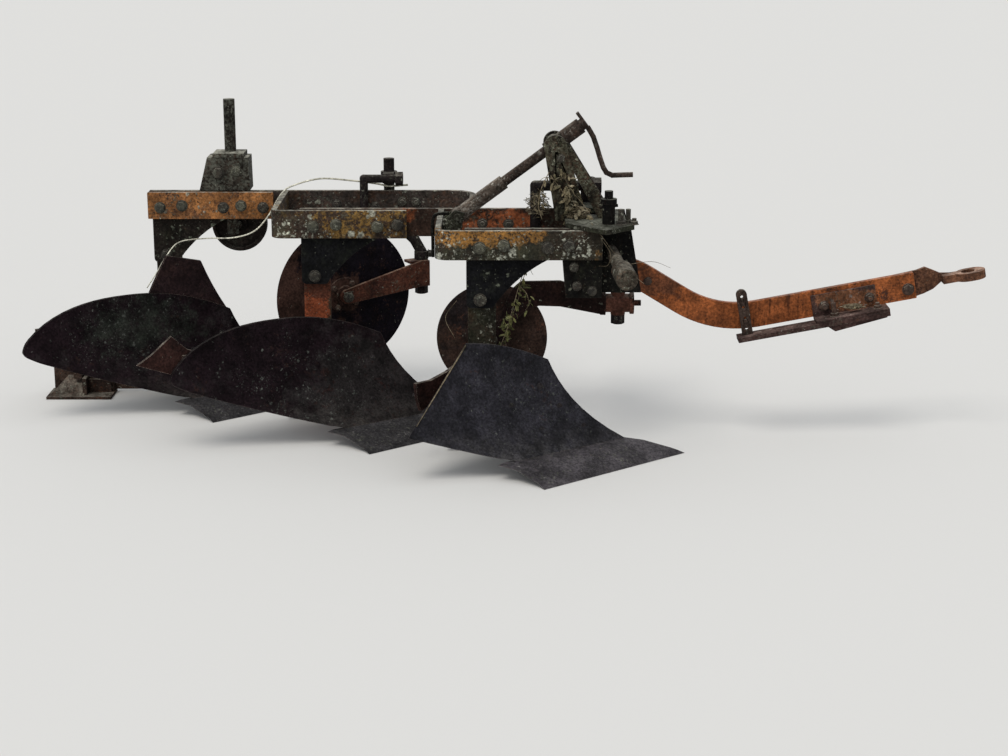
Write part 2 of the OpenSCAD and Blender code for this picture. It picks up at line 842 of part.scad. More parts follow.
// Middle line as a list of [x, z, heading], each run cut into equal steps
function walk(at, runs) =
    len(runs) == 0 ? [at] :
    let (step = runs[0][0] / run_steps, turn = runs[0][1] / run_steps,
         path = [for (i = 0, p = at; i <= run_steps; i = i + 1,
                  p = [p[0] + step * cos(p[2] + turn / 2), p[1] + step * sin(p[2] + turn / 2),
                       p[2] + turn]) p])
    concat([for (i = [0 : run_steps - 1]) path[i]],
           walk(path[run_steps], [for (i = [1 : 1 : len(runs) - 1]) runs[i]]));
neck_line = walk([root_x, root_z, 0], neck_runs);
neck_last = neck_line[len(neck_line) - 1];
// Height of the bar's middle line where it rises straight to the front
function rising(x) = neck_last[1] + (x - neck_last[0]) * tan(neck_slope);
function beside(p, d) = [p[0] - d * sin(p[2]), p[1] + d * cos(p[2])];

module drawbar() {
    half = drawbar_h / 2;
    line = concat(neck_line, [[drawbar_end, rising(drawbar_end), neck_slope]]);
    outline = concat([for (p = line) beside(p, half)],
                     [for (i = [len(line) - 1 : -1 : 0]) beside(line[i], -half)]);
    color(paint) place() upright_plate(outline, drawbar_y, drawbar_y + drawbar_t);
}

// Plates that hold the drawbar's root under the headstock bars
holder_t = 12;
holder_low = 440;
holder_high = 470;
module drawbar_cheeks() {
    low = root_z - drawbar_h / 2;
    high = bars_low - seat;
    outline = [[rear_cross[0], low], [holder_low, low], [holder_high, high],
               [rear_cross[0], high]];
    color(dark) place()
        for (y = [drawbar_y - holder_t - seat, drawbar_y + drawbar_t + seat])
            upright_plate(outline, y, y + holder_t);
}

// Tongue on the drawbar's far side and the towing eye that is forged with it
eye_z = rising(eye_x);
tongue_t = 12;
tongue_rear = 1200;
tongue_front = drawbar_end + 6;
tongue_half = 34;
tongue_wide = drawbar_h / 2;
tongue_low = [[1343, 429], [1370, 443], [1394, 466], [1430, 472]];
tongue_high = [[1430, 490], [1388, 490], [1361, 501], [1342, 508]];
eye_neck = [56, 36];
eye_neck_place = [-76, -14];
module at_eye() {
    translate([eye_x, head_y, eye_z]) rotate([0, -neck_slope, 0]) children();
}
module towing_eye() {
    y0 = drawbar_y + drawbar_t + seat;
    color(rust) place()
        difference() {
            union() {
                upright_plate(concat([[tongue_rear, rising(tongue_rear) - tongue_half],
                                      [tongue_front, rising(tongue_front) - tongue_wide]],
                                     tongue_low, tongue_high,
                                     [[tongue_front, rising(tongue_front) + tongue_wide],
                                      [tongue_rear, rising(tongue_rear) + tongue_half]]),
                              y0, y0 + tongue_t);
                at_eye() {
                    translate([eye_neck_place[0], eye_neck_place[1], -eye_t / 2])
                        cube([eye_neck[0], eye_neck[1], eye_t]);
                    translate([0, 0, -eye_t / 2]) cylinder(h = eye_t, d = eye_w);
                    translate([lug, 0, -eye_t / 2]) cylinder(h = eye_t, d = eye_w);
                    translate([0, -eye_w / 2, -eye_t / 2]) cube([lug, eye_w, eye_t]);
                }
            }
            at_eye() translate([0, 0, -eye_t]) cylinder(h = 2 * eye_t, d = eye_bore);
        }
}

// Angle iron bolted to the drawbar's near side, a long flat bar and a wedge below it
module along_neck(x, y, z) {
    translate([x, y, z]) rotate([0, -neck_slope, 0]) children();
}
angle_x = 1017;
angle_z = rising(angle_x) - drawbar_h / 2;
shelf_w = 66;
shelf_t = 8;
shelf_len = 215;
leg_len = 190;
leg_h = 64;
long_bar_t = 14;
long_bar_back = 232;
long_bar_in = 8;
wedge_x = 30;
wedge_outline = [[0, 0], [176, 0], [176, -4], [20, -18]];
wedge_y = [6, 14];
module drawbar_angle() {
    face_y = drawbar_y - seat;
    bar_low = -shelf_t - long_bar_t - seat;
    color(rust) place() {
        along_neck(angle_x, face_y, angle_z) {
            block([0, -shelf_t, 0], [leg_len, 0, leg_h]);
            block([0, -shelf_w, -shelf_t], [shelf_len, 0, eps]);
            block([-long_bar_back, -shelf_w, bar_low],
                  [shelf_len, -long_bar_in, -shelf_t - seat]);
            translate([wedge_x, 0, bar_low - seat])
                upright_plate(wedge_outline, wedge_y[0] - shelf_w, -wedge_y[1]);
        }
    }
}

// Strap with a round head and four holes, standing on the long bar
strap_w = 31;
strap_h = 136;
strap_t = 14;
strap_x = -216;
strap_hole_d = 9;
strap_hole_low = 18;
strap_hole_pitch = 32;
module drawbar_strap() {
    face_y = drawbar_y - seat;
    half = strap_t / 2;
    color(dark) place()
        along_neck(angle_x, face_y, angle_z)
            translate([strap_x, -shelf_w / 2, -shelf_t])
                difference() {
                    union() {
                        block([0, -half, 0], [strap_w, half, strap_h - strap_w / 2]);
                        cross_pin(strap_w / 2, strap_h - strap_w / 2, -half, half, strap_w);
                    }
                    for (i = [0 : 3])
                        cross_pin(strap_w / 2, strap_hole_low + i * strap_hole_pitch,
                                  -strap_t, strap_t, strap_hole_d);
                }
}

// Coulters

// Stem and swivel of each coulter in plan, and the swivel's bottom and top
mid_stem = [354, mid_y + stem_out];
mid_swivel = [454, mid_y + stem_out];
mid_low = 323;
mid_high = 394;
rear_stem = [-257, rear_y + stem_out];
rear_swivel = [-158, rear_y + stem_out];
rear_low = 346;
rear_high = 428;

// Straight length of the rear stem above its swivel
stem_root = 26;
// Each stem's middle line in x and z, down to its swivel
mid_stem_top = 738;
rear_stem_top = 752;
mid_stem_line = [[mid_stem[0], mid_stem_top], [mid_stem[0], bar_z - 2],
                 [mid_swivel[0], 456], [mid_swivel[0], mid_high + seat]];
rear_stem_line = [[rear_stem[0], rear_stem_top], [rear_stem[0], bar_z - 2],
                  [-240, 546], [-208, 520], [-179, 492], [rear_swivel[0], rear_high + stem_root],
                  [rear_swivel[0], rear_high + seat]];
collar_h = 26;
collar_wall = 5;
nut_h = 28;
nut_wall = 9;
swivel_past = 2;
module coulter_stem(line, low, high) {
    foot = line[len(line) - 1][0];
    y = 0;
    round_bar([for (p = line) [p[0], y, p[1]]], stem_d);
    translate([foot, y, high + seat]) cylinder(h = collar_h, d = stem_d + 2 * collar_wall);
    translate([foot, y, low - nut_h - swivel_past])
        cylinder(h = high - low + nut_h + swivel_past + collar_h / 2, d = swivel_d);
    translate([foot, y, low - nut_h])
        cylinder(h = nut_h - seat, d = swivel_d + 2 * nut_wall, $fn = 6);
}
module coulter_stem_mid() {
    color(dark) place(0, mid_stem[1]) coulter_stem(mid_stem_line, mid_low, mid_high);
}
module coulter_stem_rear() {
    color(dark) place(0, rear_stem[1]) coulter_stem(rear_stem_line, rear_low, rear_high);
}

// Clamps: a hooked round bar beside the far bar, an eye that ties it to the stem, and a
// block that holds the stem to the far bar below.
// Columns: stem, hook's rear x, hook's level z, hook's front x, hook's diameter
clamp_table = [[rear_stem, -333, 696, -210, 26], [mid_stem, 200, 728, 396, 31]];
hook_foot = bar_z + 30;
hook_nut_len = 24;
hook_nut_wall = 9;
eye_h = 30;
eye_wall = 9;
grip_half = 26;
grip = [bar_z + 12, bar_z + 46];
module coulter_clamps() {
    color(dark) place() {
        for (c = clamp_table) {
            stem = c[0];
            hook_z = c[2];
            hook_d = c[4];
            bar_far = stem[1] - stem_out + far_y + bar_t;
            hook_y = bar_far - bar_t - hook_d / 2 - seat;
            round_bar([[c[1], hook_y, hook_foot], [c[1], hook_y, hook_z],
                       [c[3], hook_y, hook_z]], hook_d);
            translate([c[3] - hook_nut_len, hook_y, hook_z]) rotate([0, 90, 0])
                cylinder(h = hook_nut_len, d = hook_d + 2 * hook_nut_wall, $fn = 6);
            difference() {
                union() {
                    translate([stem[0], stem[1], hook_z - eye_h / 2])
                        cylinder(h = eye_h, d = stem_d + 2 * eye_wall);
                    block([stem[0] - stem_d / 2, hook_y, hook_z - eye_h / 2],
                          [stem[0] + stem_d / 2, stem[1], hook_z + eye_h / 2]);
                }
                translate([stem[0], stem[1], hook_z - eye_h])
                    cylinder(h = 2 * eye_h, d = stem_d + 2 * run);
            }
            difference() {
                block([stem[0] - grip_half, bar_far + seat, grip[0]],
                      [stem[0] + grip_half, stem[1] + grip_half, grip[1]]);
                translate([stem[0], stem[1], bar_z])
                    cylinder(h = bar_h, d = stem_d + 2 * run);
            }
        }
    }
}

// Parts that turn with a coulter: origin on the swivel, -x along the arm to the disc
hub_side = 20;
arm_t = 12;
arm_face = -hub_side - 2;
module turned(foot, yaw) {
    translate([foot[0], foot[1], 0]) rotate([0, 0, yaw]) children();
}
module arm_plate(outline, hub, hub_end_d) {
    upright_plate(outline, arm_face - arm_t, arm_face);
    cross_pin(hub[0], hub[1], arm_face - arm_t, arm_face, hub_end_d);
    cross_pin(hub[0], hub[1], arm_face - arm_t, hub_side, axle_d);
}

rear_hub_z = 338;
mid_hub_z = 250;
barrel_d = 44;
rear_end_d = 46;
mid_end_d = 44;

// The rear arm is a channel whose two flanges hold the swivel barrel
arm_end = 14;
flange_t = 8;
flange_len = 50;
module coulter_arm_rear() {
    root = rear_end_d / 2;
    outline = [[-rear_arm, rear_hub_z + root], [-rear_arm + 2 * root, rear_hub_z + 36],
               [-arm_end, rear_high], [arm_end, rear_high], [arm_end, rear_low],
               [-arm_end, rear_low], [-rear_arm, rear_hub_z - root]];
    color(rust) place() turned(rear_swivel, rear_yaw)
        difference() {
            union() {
                arm_plate(outline, [-rear_arm, rear_hub_z], rear_end_d);
                translate([0, 0, rear_low]) cylinder(h = rear_high - rear_low, d = barrel_d);
                for (z = [rear_low, rear_high - flange_t])
                    block([z > rear_low ? -flange_len : -arm_end, arm_face - 1, z],
                          [arm_end, barrel_d / 2, z + flange_t]);
                block([-arm_end, arm_face - 1, rear_low], [arm_end, 0, rear_high]);
            }
            translate([0, 0, rear_low - 1])
                cylinder(h = rear_high - rear_low + 2, d = swivel_d + 2 * run);
        }
}

// The middle arm is bent and ends in a level barrel with a flange at each end.
// Columns of the barrel: start along the arm, length, diameter
mid_barrel_z = mid_low + 35;
mid_barrel = [[-40, 84, 57], [-54, 16, 74], [36, 12, 68], [40, 30, 18]];
mid_arm_top = [[-366, 300], [-344, 362], [-322, 408], [-296, 431], [-178, 433], [-60, 402]];
mid_arm_low = [[-60, mid_low + 8], [-177, 354], [-242, 356], [-276, 346], [-306, 318],
               [-330, 278]];
module coulter_arm_mid() {
    root = mid_end_d / 2;
    outline = concat([[-mid_arm, mid_hub_z + root]], mid_arm_top,
                     [[-40, mid_high - 8], [-40, mid_low + 4]], mid_arm_low,
                     [[-mid_arm + root, mid_hub_z - root / 2], [-mid_arm, mid_hub_z - root]]);
    color(rust) place() turned(mid_swivel, 0)
        difference() {
            union() {
                arm_plate(outline, [-mid_arm, mid_hub_z], mid_end_d);
                for (b = mid_barrel)
                    translate([b[0], 0, mid_barrel_z]) rotate([0, 90, 0])
                        cylinder(h = b[1], d = b[2]);
                translate([0, 0, mid_low]) cylinder(h = mid_high - mid_low, d = barrel_d);
            }
            translate([0, 0, mid_low - 1])
                cylinder(h = mid_high - mid_low + 2, d = swivel_d + 2 * run);
        }
}

// Disc with its hub; the profile is turned about the spindle
cutting_bevel = 14;
cutting_half = 0.6;
cap_r = 32;
seat_r = 56;
seat_side = 8;
cone_r = [48, 30];
cone_side = 14;
module coulter_disc(r) {
    bore_r = axle_d / 2 + run;
    half = disc_t / 2;
    rotate([90, 0, 0])
        rotate_extrude($fn = 96)
            polygon([[bore_r, -hub_side], [cap_r, -hub_side], [cap_r, -seat_side],
                     [seat_r, -seat_side], [seat_r, -half], [r - cutting_bevel, -half],
                     [r, -cutting_half], [r, cutting_half], [r - cutting_bevel, half],
                     [cone_r[0], half], [cone_r[1], cone_side], [bore_r, cone_side]]);
}
module coulter_disc_rear() {
    color(rust) place() turned(rear_swivel, rear_yaw)
        translate([-rear_arm, 0, rear_hub_z]) mirror([0, 1, 0]) coulter_disc(rear_disc_r);
}
module coulter_disc_mid() {
    color(rust) place() turned(mid_swivel, 0)
        translate([-mid_arm, 0, mid_hub_z]) mirror([0, 1, 0]) coulter_disc(mid_disc_r);
}

// Depth wheel: x is taken from the rear body's shank

spindle_x = 244;
wheel_x = 259;
wheel_z = 535;
// The bracket is a tapered block on the far bar with a cap, and a block beside the bar
box_low = [149, 308];
box_high = [176, 306];
box_top = 762;
box_near = 6;
box_wall = 34;
cap = [194, 292];
cap_t = 13;
cap_lip = 4;
side_block = [200, 288];
spindle_past = 24;
axle_nut_d = 34;
axle_nut_gap = 2;
module wheel_bracket() {
    near = rear_y + far_y - box_near;
    color(dark) place(rear_x)
        difference() {
            union() {
                upright_plate([[box_low[0], bar_top + seat], [box_low[1], bar_top + seat],
                               [box_high[1], box_top], [box_high[0], box_top]],
                              near, spindle_y + box_wall);
                block([cap[0], near - cap_lip, box_top],
                      [cap[1], spindle_y + box_wall + cap_lip, box_top + cap_t]);
                block([side_block[0], rear_y + sandwich + seat, bar_z + 8],
                      [side_block[1], spindle_y + box_wall - cap_lip, bar_top + 1]);
            }
            translate([spindle_x, spindle_y, bar_z])
                cylinder(h = box_top + 2 * cap_t - bar_z, d = spindle_d + 2 * run);
        }
}
module wheel_spindle() {
    axle_y = wheel_y + wheel_w;
    color(steel) place(rear_x)
        union() {
            translate([spindle_x, spindle_y, wheel_z - spindle_past])
                cylinder(h = spindle_top - wheel_z + spindle_past, d = spindle_d);
            cross_pin(wheel_x, wheel_z, spindle_y, axle_y + axle_end / 2, axle_d);
            cross_pin(wheel_x, wheel_z, axle_y + axle_nut_gap, axle_y + axle_end, axle_nut_d);
        }
}
hub_r = 26;
web_half = 5;
rim_t = 12;
rim_in = 2;
rim_round = 5;
module depth_wheel() {
    bore_r = axle_d / 2 + run;
    mid = wheel_w / 2;
    rim_r = wheel_r - rim_t;
    half = [[bore_r, 0], [hub_r, 0], [hub_r, mid - web_half], [rim_r, mid - web_half],
            [rim_r, rim_in], [wheel_r - rim_round, rim_in], [wheel_r, rim_in + rim_round]];
    other = [for (i = [len(half) - 1 : -1 : 0]) [half[i][0], wheel_w - half[i][1]]];
    color(dark) place(rear_x)
        translate([wheel_x, wheel_y, wheel_z]) rotate([-90, 0, 0])
            rotate_extrude($fn = 96) polygon(concat(half, other));
}

// One node for each piece of the three plough bottoms

module shank_front() { color(dark) place() shank(); }
module shank_mid() { color(dark) place(mid_x, mid_y) shank(); }
module shank_rear() { color(dark) place(rear_x, rear_y) shank(); }
module frog_front() { color(rust) place() frog(); }
module frog_mid() { color("orangered") place(mid_x, mid_y) frog(); }
module frog_rear() { color(rust) place(rear_x, rear_y) frog(); }
module moldboard_front() { color(dark) place() broken_moldboard(); }
module moldboard_mid() { color(dark) place(mid_x, mid_y) moldboard(); }
module moldboard_rear() { color(dark) place(rear_x, rear_y) moldboard(); }
module share_front() { color(steel) place() share(); }
module share_mid() { color(steel) place(mid_x, mid_y) share(); }
module share_rear() { color(steel) place(rear_x, rear_y) share(); }
module landside_front_piece() { color(rust) place() landside(short_landside, heel_t); }
module landside_mid() { color(rust) place(mid_x, mid_y) landside(short_landside, heel_t); }
module landside_rear() { color(rust) place(rear_x, rear_y) landside(long_landside, heel_t + seat); }
module heel_shoe() { color(rust) place(rear_x, rear_y) heel_body(); }
module trash_board() { color(rust) place(rear_x, rear_y) trash_sheet(); }
// The front body's stay is bent out to a moldboard tail that is gone
stay_foot = [-0.5, 40.5];
bent_turn = 45;
bent_half = 6;
bent_high = 284;
bent_low = 238;
bent_stay = [[-144, 241], [-102, 240], [-58, 254], [stay_foot[0], bent_high], [stay_foot[0], bent_low],
             [-60, 192], [-131, 157], [-141, 195]];
module stay_front() {
    outline = [for (p = bent_stay) [(p[0] - stay_foot[0]) / cos(bent_turn), p[1]]];
    color(rust) place()
        translate([stay_foot[0], stay_foot[1], 0])
            rotate([0, 0, bent_turn]) upright_plate(outline, -bent_half, bent_half);
}
module stay_mid() {
    color(rust) place(mid_x, mid_y) {
        stay_to_tail();
        tail_fin();
    }
}
module stay_rear() { color(rust) place(rear_x, rear_y) stay_to_tail(); }

beam_front_near();
beam_front_far();
beam_mid_near();
beam_mid_far();
beam_rear_near();
beam_rear_far();
beam_spacers();
hanger_plate();
shank_front();
shank_mid();
shank_rear();
frog_front();
frog_mid();
frog_rear();
moldboard_front();
moldboard_mid();
moldboard_rear();
share_front();
share_mid();
share_rear();
landside_front_piece();  // landside_front
landside_mid();
landside_rear();
heel_shoe();
trash_board();
stay_front();
stay_mid();
stay_rear();
cheek_near();
cheek_far();
headstock_bars();
headstock_top();
mast_near();
mast_far();
mast_braces();
adjusting_tube();
adjusting_rod();
trunnion();
tube_bracket();
crank_handle();
headstock_pin();
link_pin_near();
link_pin_far();
drawbar();
drawbar_cheeks();
towing_eye();
drawbar_angle();
drawbar_strap();
coulter_clamps();
coulter_stem_mid();
coulter_stem_rear();
coulter_arm_mid();
coulter_arm_rear();
coulter_disc_mid();
coulter_disc_rear();
wheel_bracket();
wheel_spindle();
depth_wheel();
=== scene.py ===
"""Looks of the moldboard plough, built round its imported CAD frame.

Lengths in the tables are millimetres in the plough's own corner frame, the one that the
part's source uses: x ahead of the front shank's rear edge, y left of the near frame bar,
z above the ground. at() moves a point into the row frame in metres.
"""

import logging
import math
import random
from dataclasses import dataclass
from enum import Enum
from functools import partial

import bpy
from mathutils import Euler, Matrix, Vector


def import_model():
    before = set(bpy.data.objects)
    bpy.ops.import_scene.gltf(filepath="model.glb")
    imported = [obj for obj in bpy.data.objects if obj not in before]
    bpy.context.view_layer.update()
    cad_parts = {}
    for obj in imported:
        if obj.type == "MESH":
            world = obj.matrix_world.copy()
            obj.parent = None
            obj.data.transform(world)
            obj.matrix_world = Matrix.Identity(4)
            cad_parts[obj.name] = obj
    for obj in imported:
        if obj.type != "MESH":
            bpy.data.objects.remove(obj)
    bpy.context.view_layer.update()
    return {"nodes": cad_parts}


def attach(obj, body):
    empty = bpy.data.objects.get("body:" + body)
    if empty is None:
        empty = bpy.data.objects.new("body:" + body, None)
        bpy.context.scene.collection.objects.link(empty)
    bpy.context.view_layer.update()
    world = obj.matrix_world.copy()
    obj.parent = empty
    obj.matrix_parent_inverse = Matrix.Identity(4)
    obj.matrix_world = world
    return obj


LOG = logging.getLogger("plough")

Colour = tuple[float, float, float]
Point = tuple[float, float, float]
Socket = bpy.types.NodeSocket
Number = Socket | float
Paint = Socket | Colour

MM = 0.001
ORIGIN = Vector((83.0, 249.126, 0.0))
BODY_PITCH = 500.0
FURROW = 330.0
SEED = 7
SMOOTH_ANGLE = math.radians(34)
BEVEL_ANGLE = math.radians(38)

NEAR = (0, -1, 0)
FAR = (0, 1, 0)
UP = (0, 0, 1)
AHEAD = (1, 0, 0)

VALUE = "NodeSocketFloat"
VECTOR = "NodeSocketVector"
WHOLE = "NodeSocketInt"
SHAPE = "NodeSocketGeometry"
MATERIAL = "NodeSocketMaterial"


def at(x: float, y: float, z: float) -> Vector:
    """Move a point of the plough's corner frame into the row frame.

    Args:
        x: millimetres ahead of the front shank's rear edge.
        y: millimetres left of the near frame bar.
        z: millimetres above the ground.

    Returns:
        The point in metres.
    """
    return (Vector((x, y, z)) - ORIGIN) * MM


class Body(str, Enum):
    """CAD bodies that looks ride on."""

    FRAME = "frame"
    COULTER_MID = "coulter_mid"
    DISC_MID = "disc_mid"
    COULTER_REAR = "coulter_rear"
    DISC_REAR = "disc_rear"


class Slot(str, Enum):
    """Material slots of the record."""

    ORANGE = "orange_paint"
    RED = "red_lead"
    DARK = "dark_steel"
    RUSTED = "rusted_steel"
    SOIL = "soil_steel"
    BRIGHT = "bright_steel"


# Node graphs


class Graph:
    """Short calls to add nodes to one node tree and to link them."""

    def __init__(self, tree: bpy.types.NodeTree) -> None:
        """Keep the tree that is built."""
        self.tree = tree

    def add(self, kind: str, inputs: dict | None = None, **settings) -> bpy.types.Node:
        """Add a node.

        Args:
            kind: the node's class name.
            inputs: socket name or number to a value or to an output socket.
            settings: the node's properties, which are set first.

        Returns:
            The new node.
        """
        node = self.tree.nodes.new(kind)
        for key, value in settings.items():
            setattr(node, key, value)
        for key, value in (inputs or {}).items():
            self.put(node.inputs[key], value)
        return node

    def get(self, kind: str, inputs: dict | None = None, **settings) -> Socket:
        """Add a node and return its first output."""
        return self.add(kind, inputs, **settings).outputs[0]

    def put(self, socket: Socket, value: object) -> None:
        """Set or link one input socket.

        Args:
            socket: the input socket.
            value: a constant or an output socket.
        """
        if isinstance(value, bpy.types.NodeSocket):
            self.tree.links.new(value, socket)
        elif isinstance(value, tuple) and socket.type == "RGBA":
            socket.default_value = (*value, 1.0)
        else:
            socket.default_value = value

    def math(self, operation: str, a: Number, b: Number = 0.0, c: Number = 0.0,
             clamp: bool = False) -> Socket:
        """Add a math node on up to three values and return its result."""
        return self.get("ShaderNodeMath", {0: a, 1: b, 2: c}, operation=operation,
                        use_clamp=clamp)

    def times(self, a: Number, b: Number) -> Socket:
        """Multiply two values."""
        return self.math("MULTIPLY", a, b)

    def plus(self, a: Number, b: Number) -> Socket:
        """Add two values."""
        return self.math("ADD", a, b)

    def minus(self, a: Number, b: Number) -> Socket:
        """Subtract b from a."""
        return self.math("SUBTRACT", a, b)

    def vector(self, operation: str, *values) -> bpy.types.Node:
        """Add a vector math node on some values and return it."""
        return self.add("ShaderNodeVectorMath", dict(enumerate(values)), operation=operation)

    def xyz(self, x: Number = 0.0, y: Number = 0.0, z: Number = 0.0) -> Socket:
        """Make a vector of three values."""
        return self.get("ShaderNodeCombineXYZ", {0: x, 1: y, 2: z})

    def step(self, value: Number, low: Number, high: Number) -> Socket:
        """Rise smoothly from 0 at low to 1 at high, which may be below low."""
        return self.get("ShaderNodeMapRange", {0: value, 1: low, 2: high, 3: 0.0, 4: 1.0},
                        interpolation_type="SMOOTHSTEP")

    def mix(self, factor: Number, a: Paint, b: Paint, blend: str = "MIX") -> Socket:
        """Mix two colours, a at factor 0 and b at factor 1."""
        return self.add("ShaderNodeMix", {0: factor, 6: a, 7: b}, data_type="RGBA",
                        blend_type=blend).outputs[2]

    def noise(self, place: Socket, scale: Number, detail: float, rough: float) -> Socket:
        """Add a noise texture with so many features a metre and return its value."""
        return self.get("ShaderNodeTexNoise", {"Vector": place, "Scale": scale,
                                               "Detail": detail, "Roughness": rough})

    def shift(self, place: Socket, offset: float, stretch: Point = (1.0, 1.0, 1.0)) -> Socket:
        """Move and stretch coordinates, so that two uses of a texture differ."""
        return self.get("ShaderNodeMapping", {"Vector": place, "Scale": stretch,
                                              "Location": (offset, offset * 1.7, offset * 0.6)})

    def group(self, tree: bpy.types.NodeTree, **inputs) -> bpy.types.Node:
        """Place a shared shader group with its own input values."""
        return self.add("ShaderNodeGroup", inputs, node_tree=tree)

    def named(self, name: str, kind: str) -> Socket:
        """Read an attribute of a mesh's points."""
        return self.get("GeometryNodeInputNamedAttribute", {"Name": name}, data_type=kind)

    def surface(self, inputs: dict) -> None:
        """End a material with a Principled BSDF that has these inputs."""
        shader = self.get("ShaderNodeBsdfPrincipled", inputs)
        self.add("ShaderNodeOutputMaterial", {"Surface": shader})


def start_group(kind: str, name: str, inputs: dict, outputs: dict) -> tuple[Graph, dict, dict]:
    """Start a node group.

    Args:
        kind: the tree's class name.
        name: the group's name.
        inputs: input name to its socket type and default value.
        outputs: output name to its socket type.

    Returns:
        The graph, its input sockets by name and its output sockets by name.
    """
    tree = bpy.data.node_groups.new(name, kind)
    for label, (socket_type, value) in inputs.items():
        socket = tree.interface.new_socket(label, in_out="INPUT", socket_type=socket_type)
        if value is not None:
            socket.default_value = value
    for label, socket_type in outputs.items():
        tree.interface.new_socket(label, in_out="OUTPUT", socket_type=socket_type)
    graph = Graph(tree)
    entry = graph.add("NodeGroupInput")
    leave = graph.add("NodeGroupOutput")
    return graph, {s.name: s for s in entry.outputs}, {s.name: s for s in leave.inputs}


def mask_group(name: str, outputs: tuple[str, ...] = ("Mask",),
               **inputs) -> tuple[Graph, Socket, dict, dict]:
    """Start a shader group that reads a place on the surface and puts out values.

    Args:
        name: the group's name.
        outputs: the names of its outputs.
        inputs: input name to its default number, or to None for a vector.

    Returns:
        The graph, the place's socket, and the input and output sockets by name.
    """
    sockets = {"Vector": (VECTOR, None)}
    for label, value in inputs.items():
        sockets[label] = (VECTOR if value is None else VALUE, value)
    graph, take, give = start_group("ShaderNodeTree", name, sockets,
                                    dict.fromkeys(outputs, VALUE))
    return graph, take["Vector"], take, give


def shape_group(name: str, inputs: dict) -> tuple[Graph, dict, dict]:
    """Start a geometry group that turns one geometry into another.

    Args:
        name: the group's name.
        inputs: further input name to its socket type and default value.

    Returns:
        The graph, and the input and output sockets by name.
    """
    return start_group("GeometryNodeTree", name, {"Geometry": (SHAPE, None), **inputs},
                       {"Geometry": SHAPE})


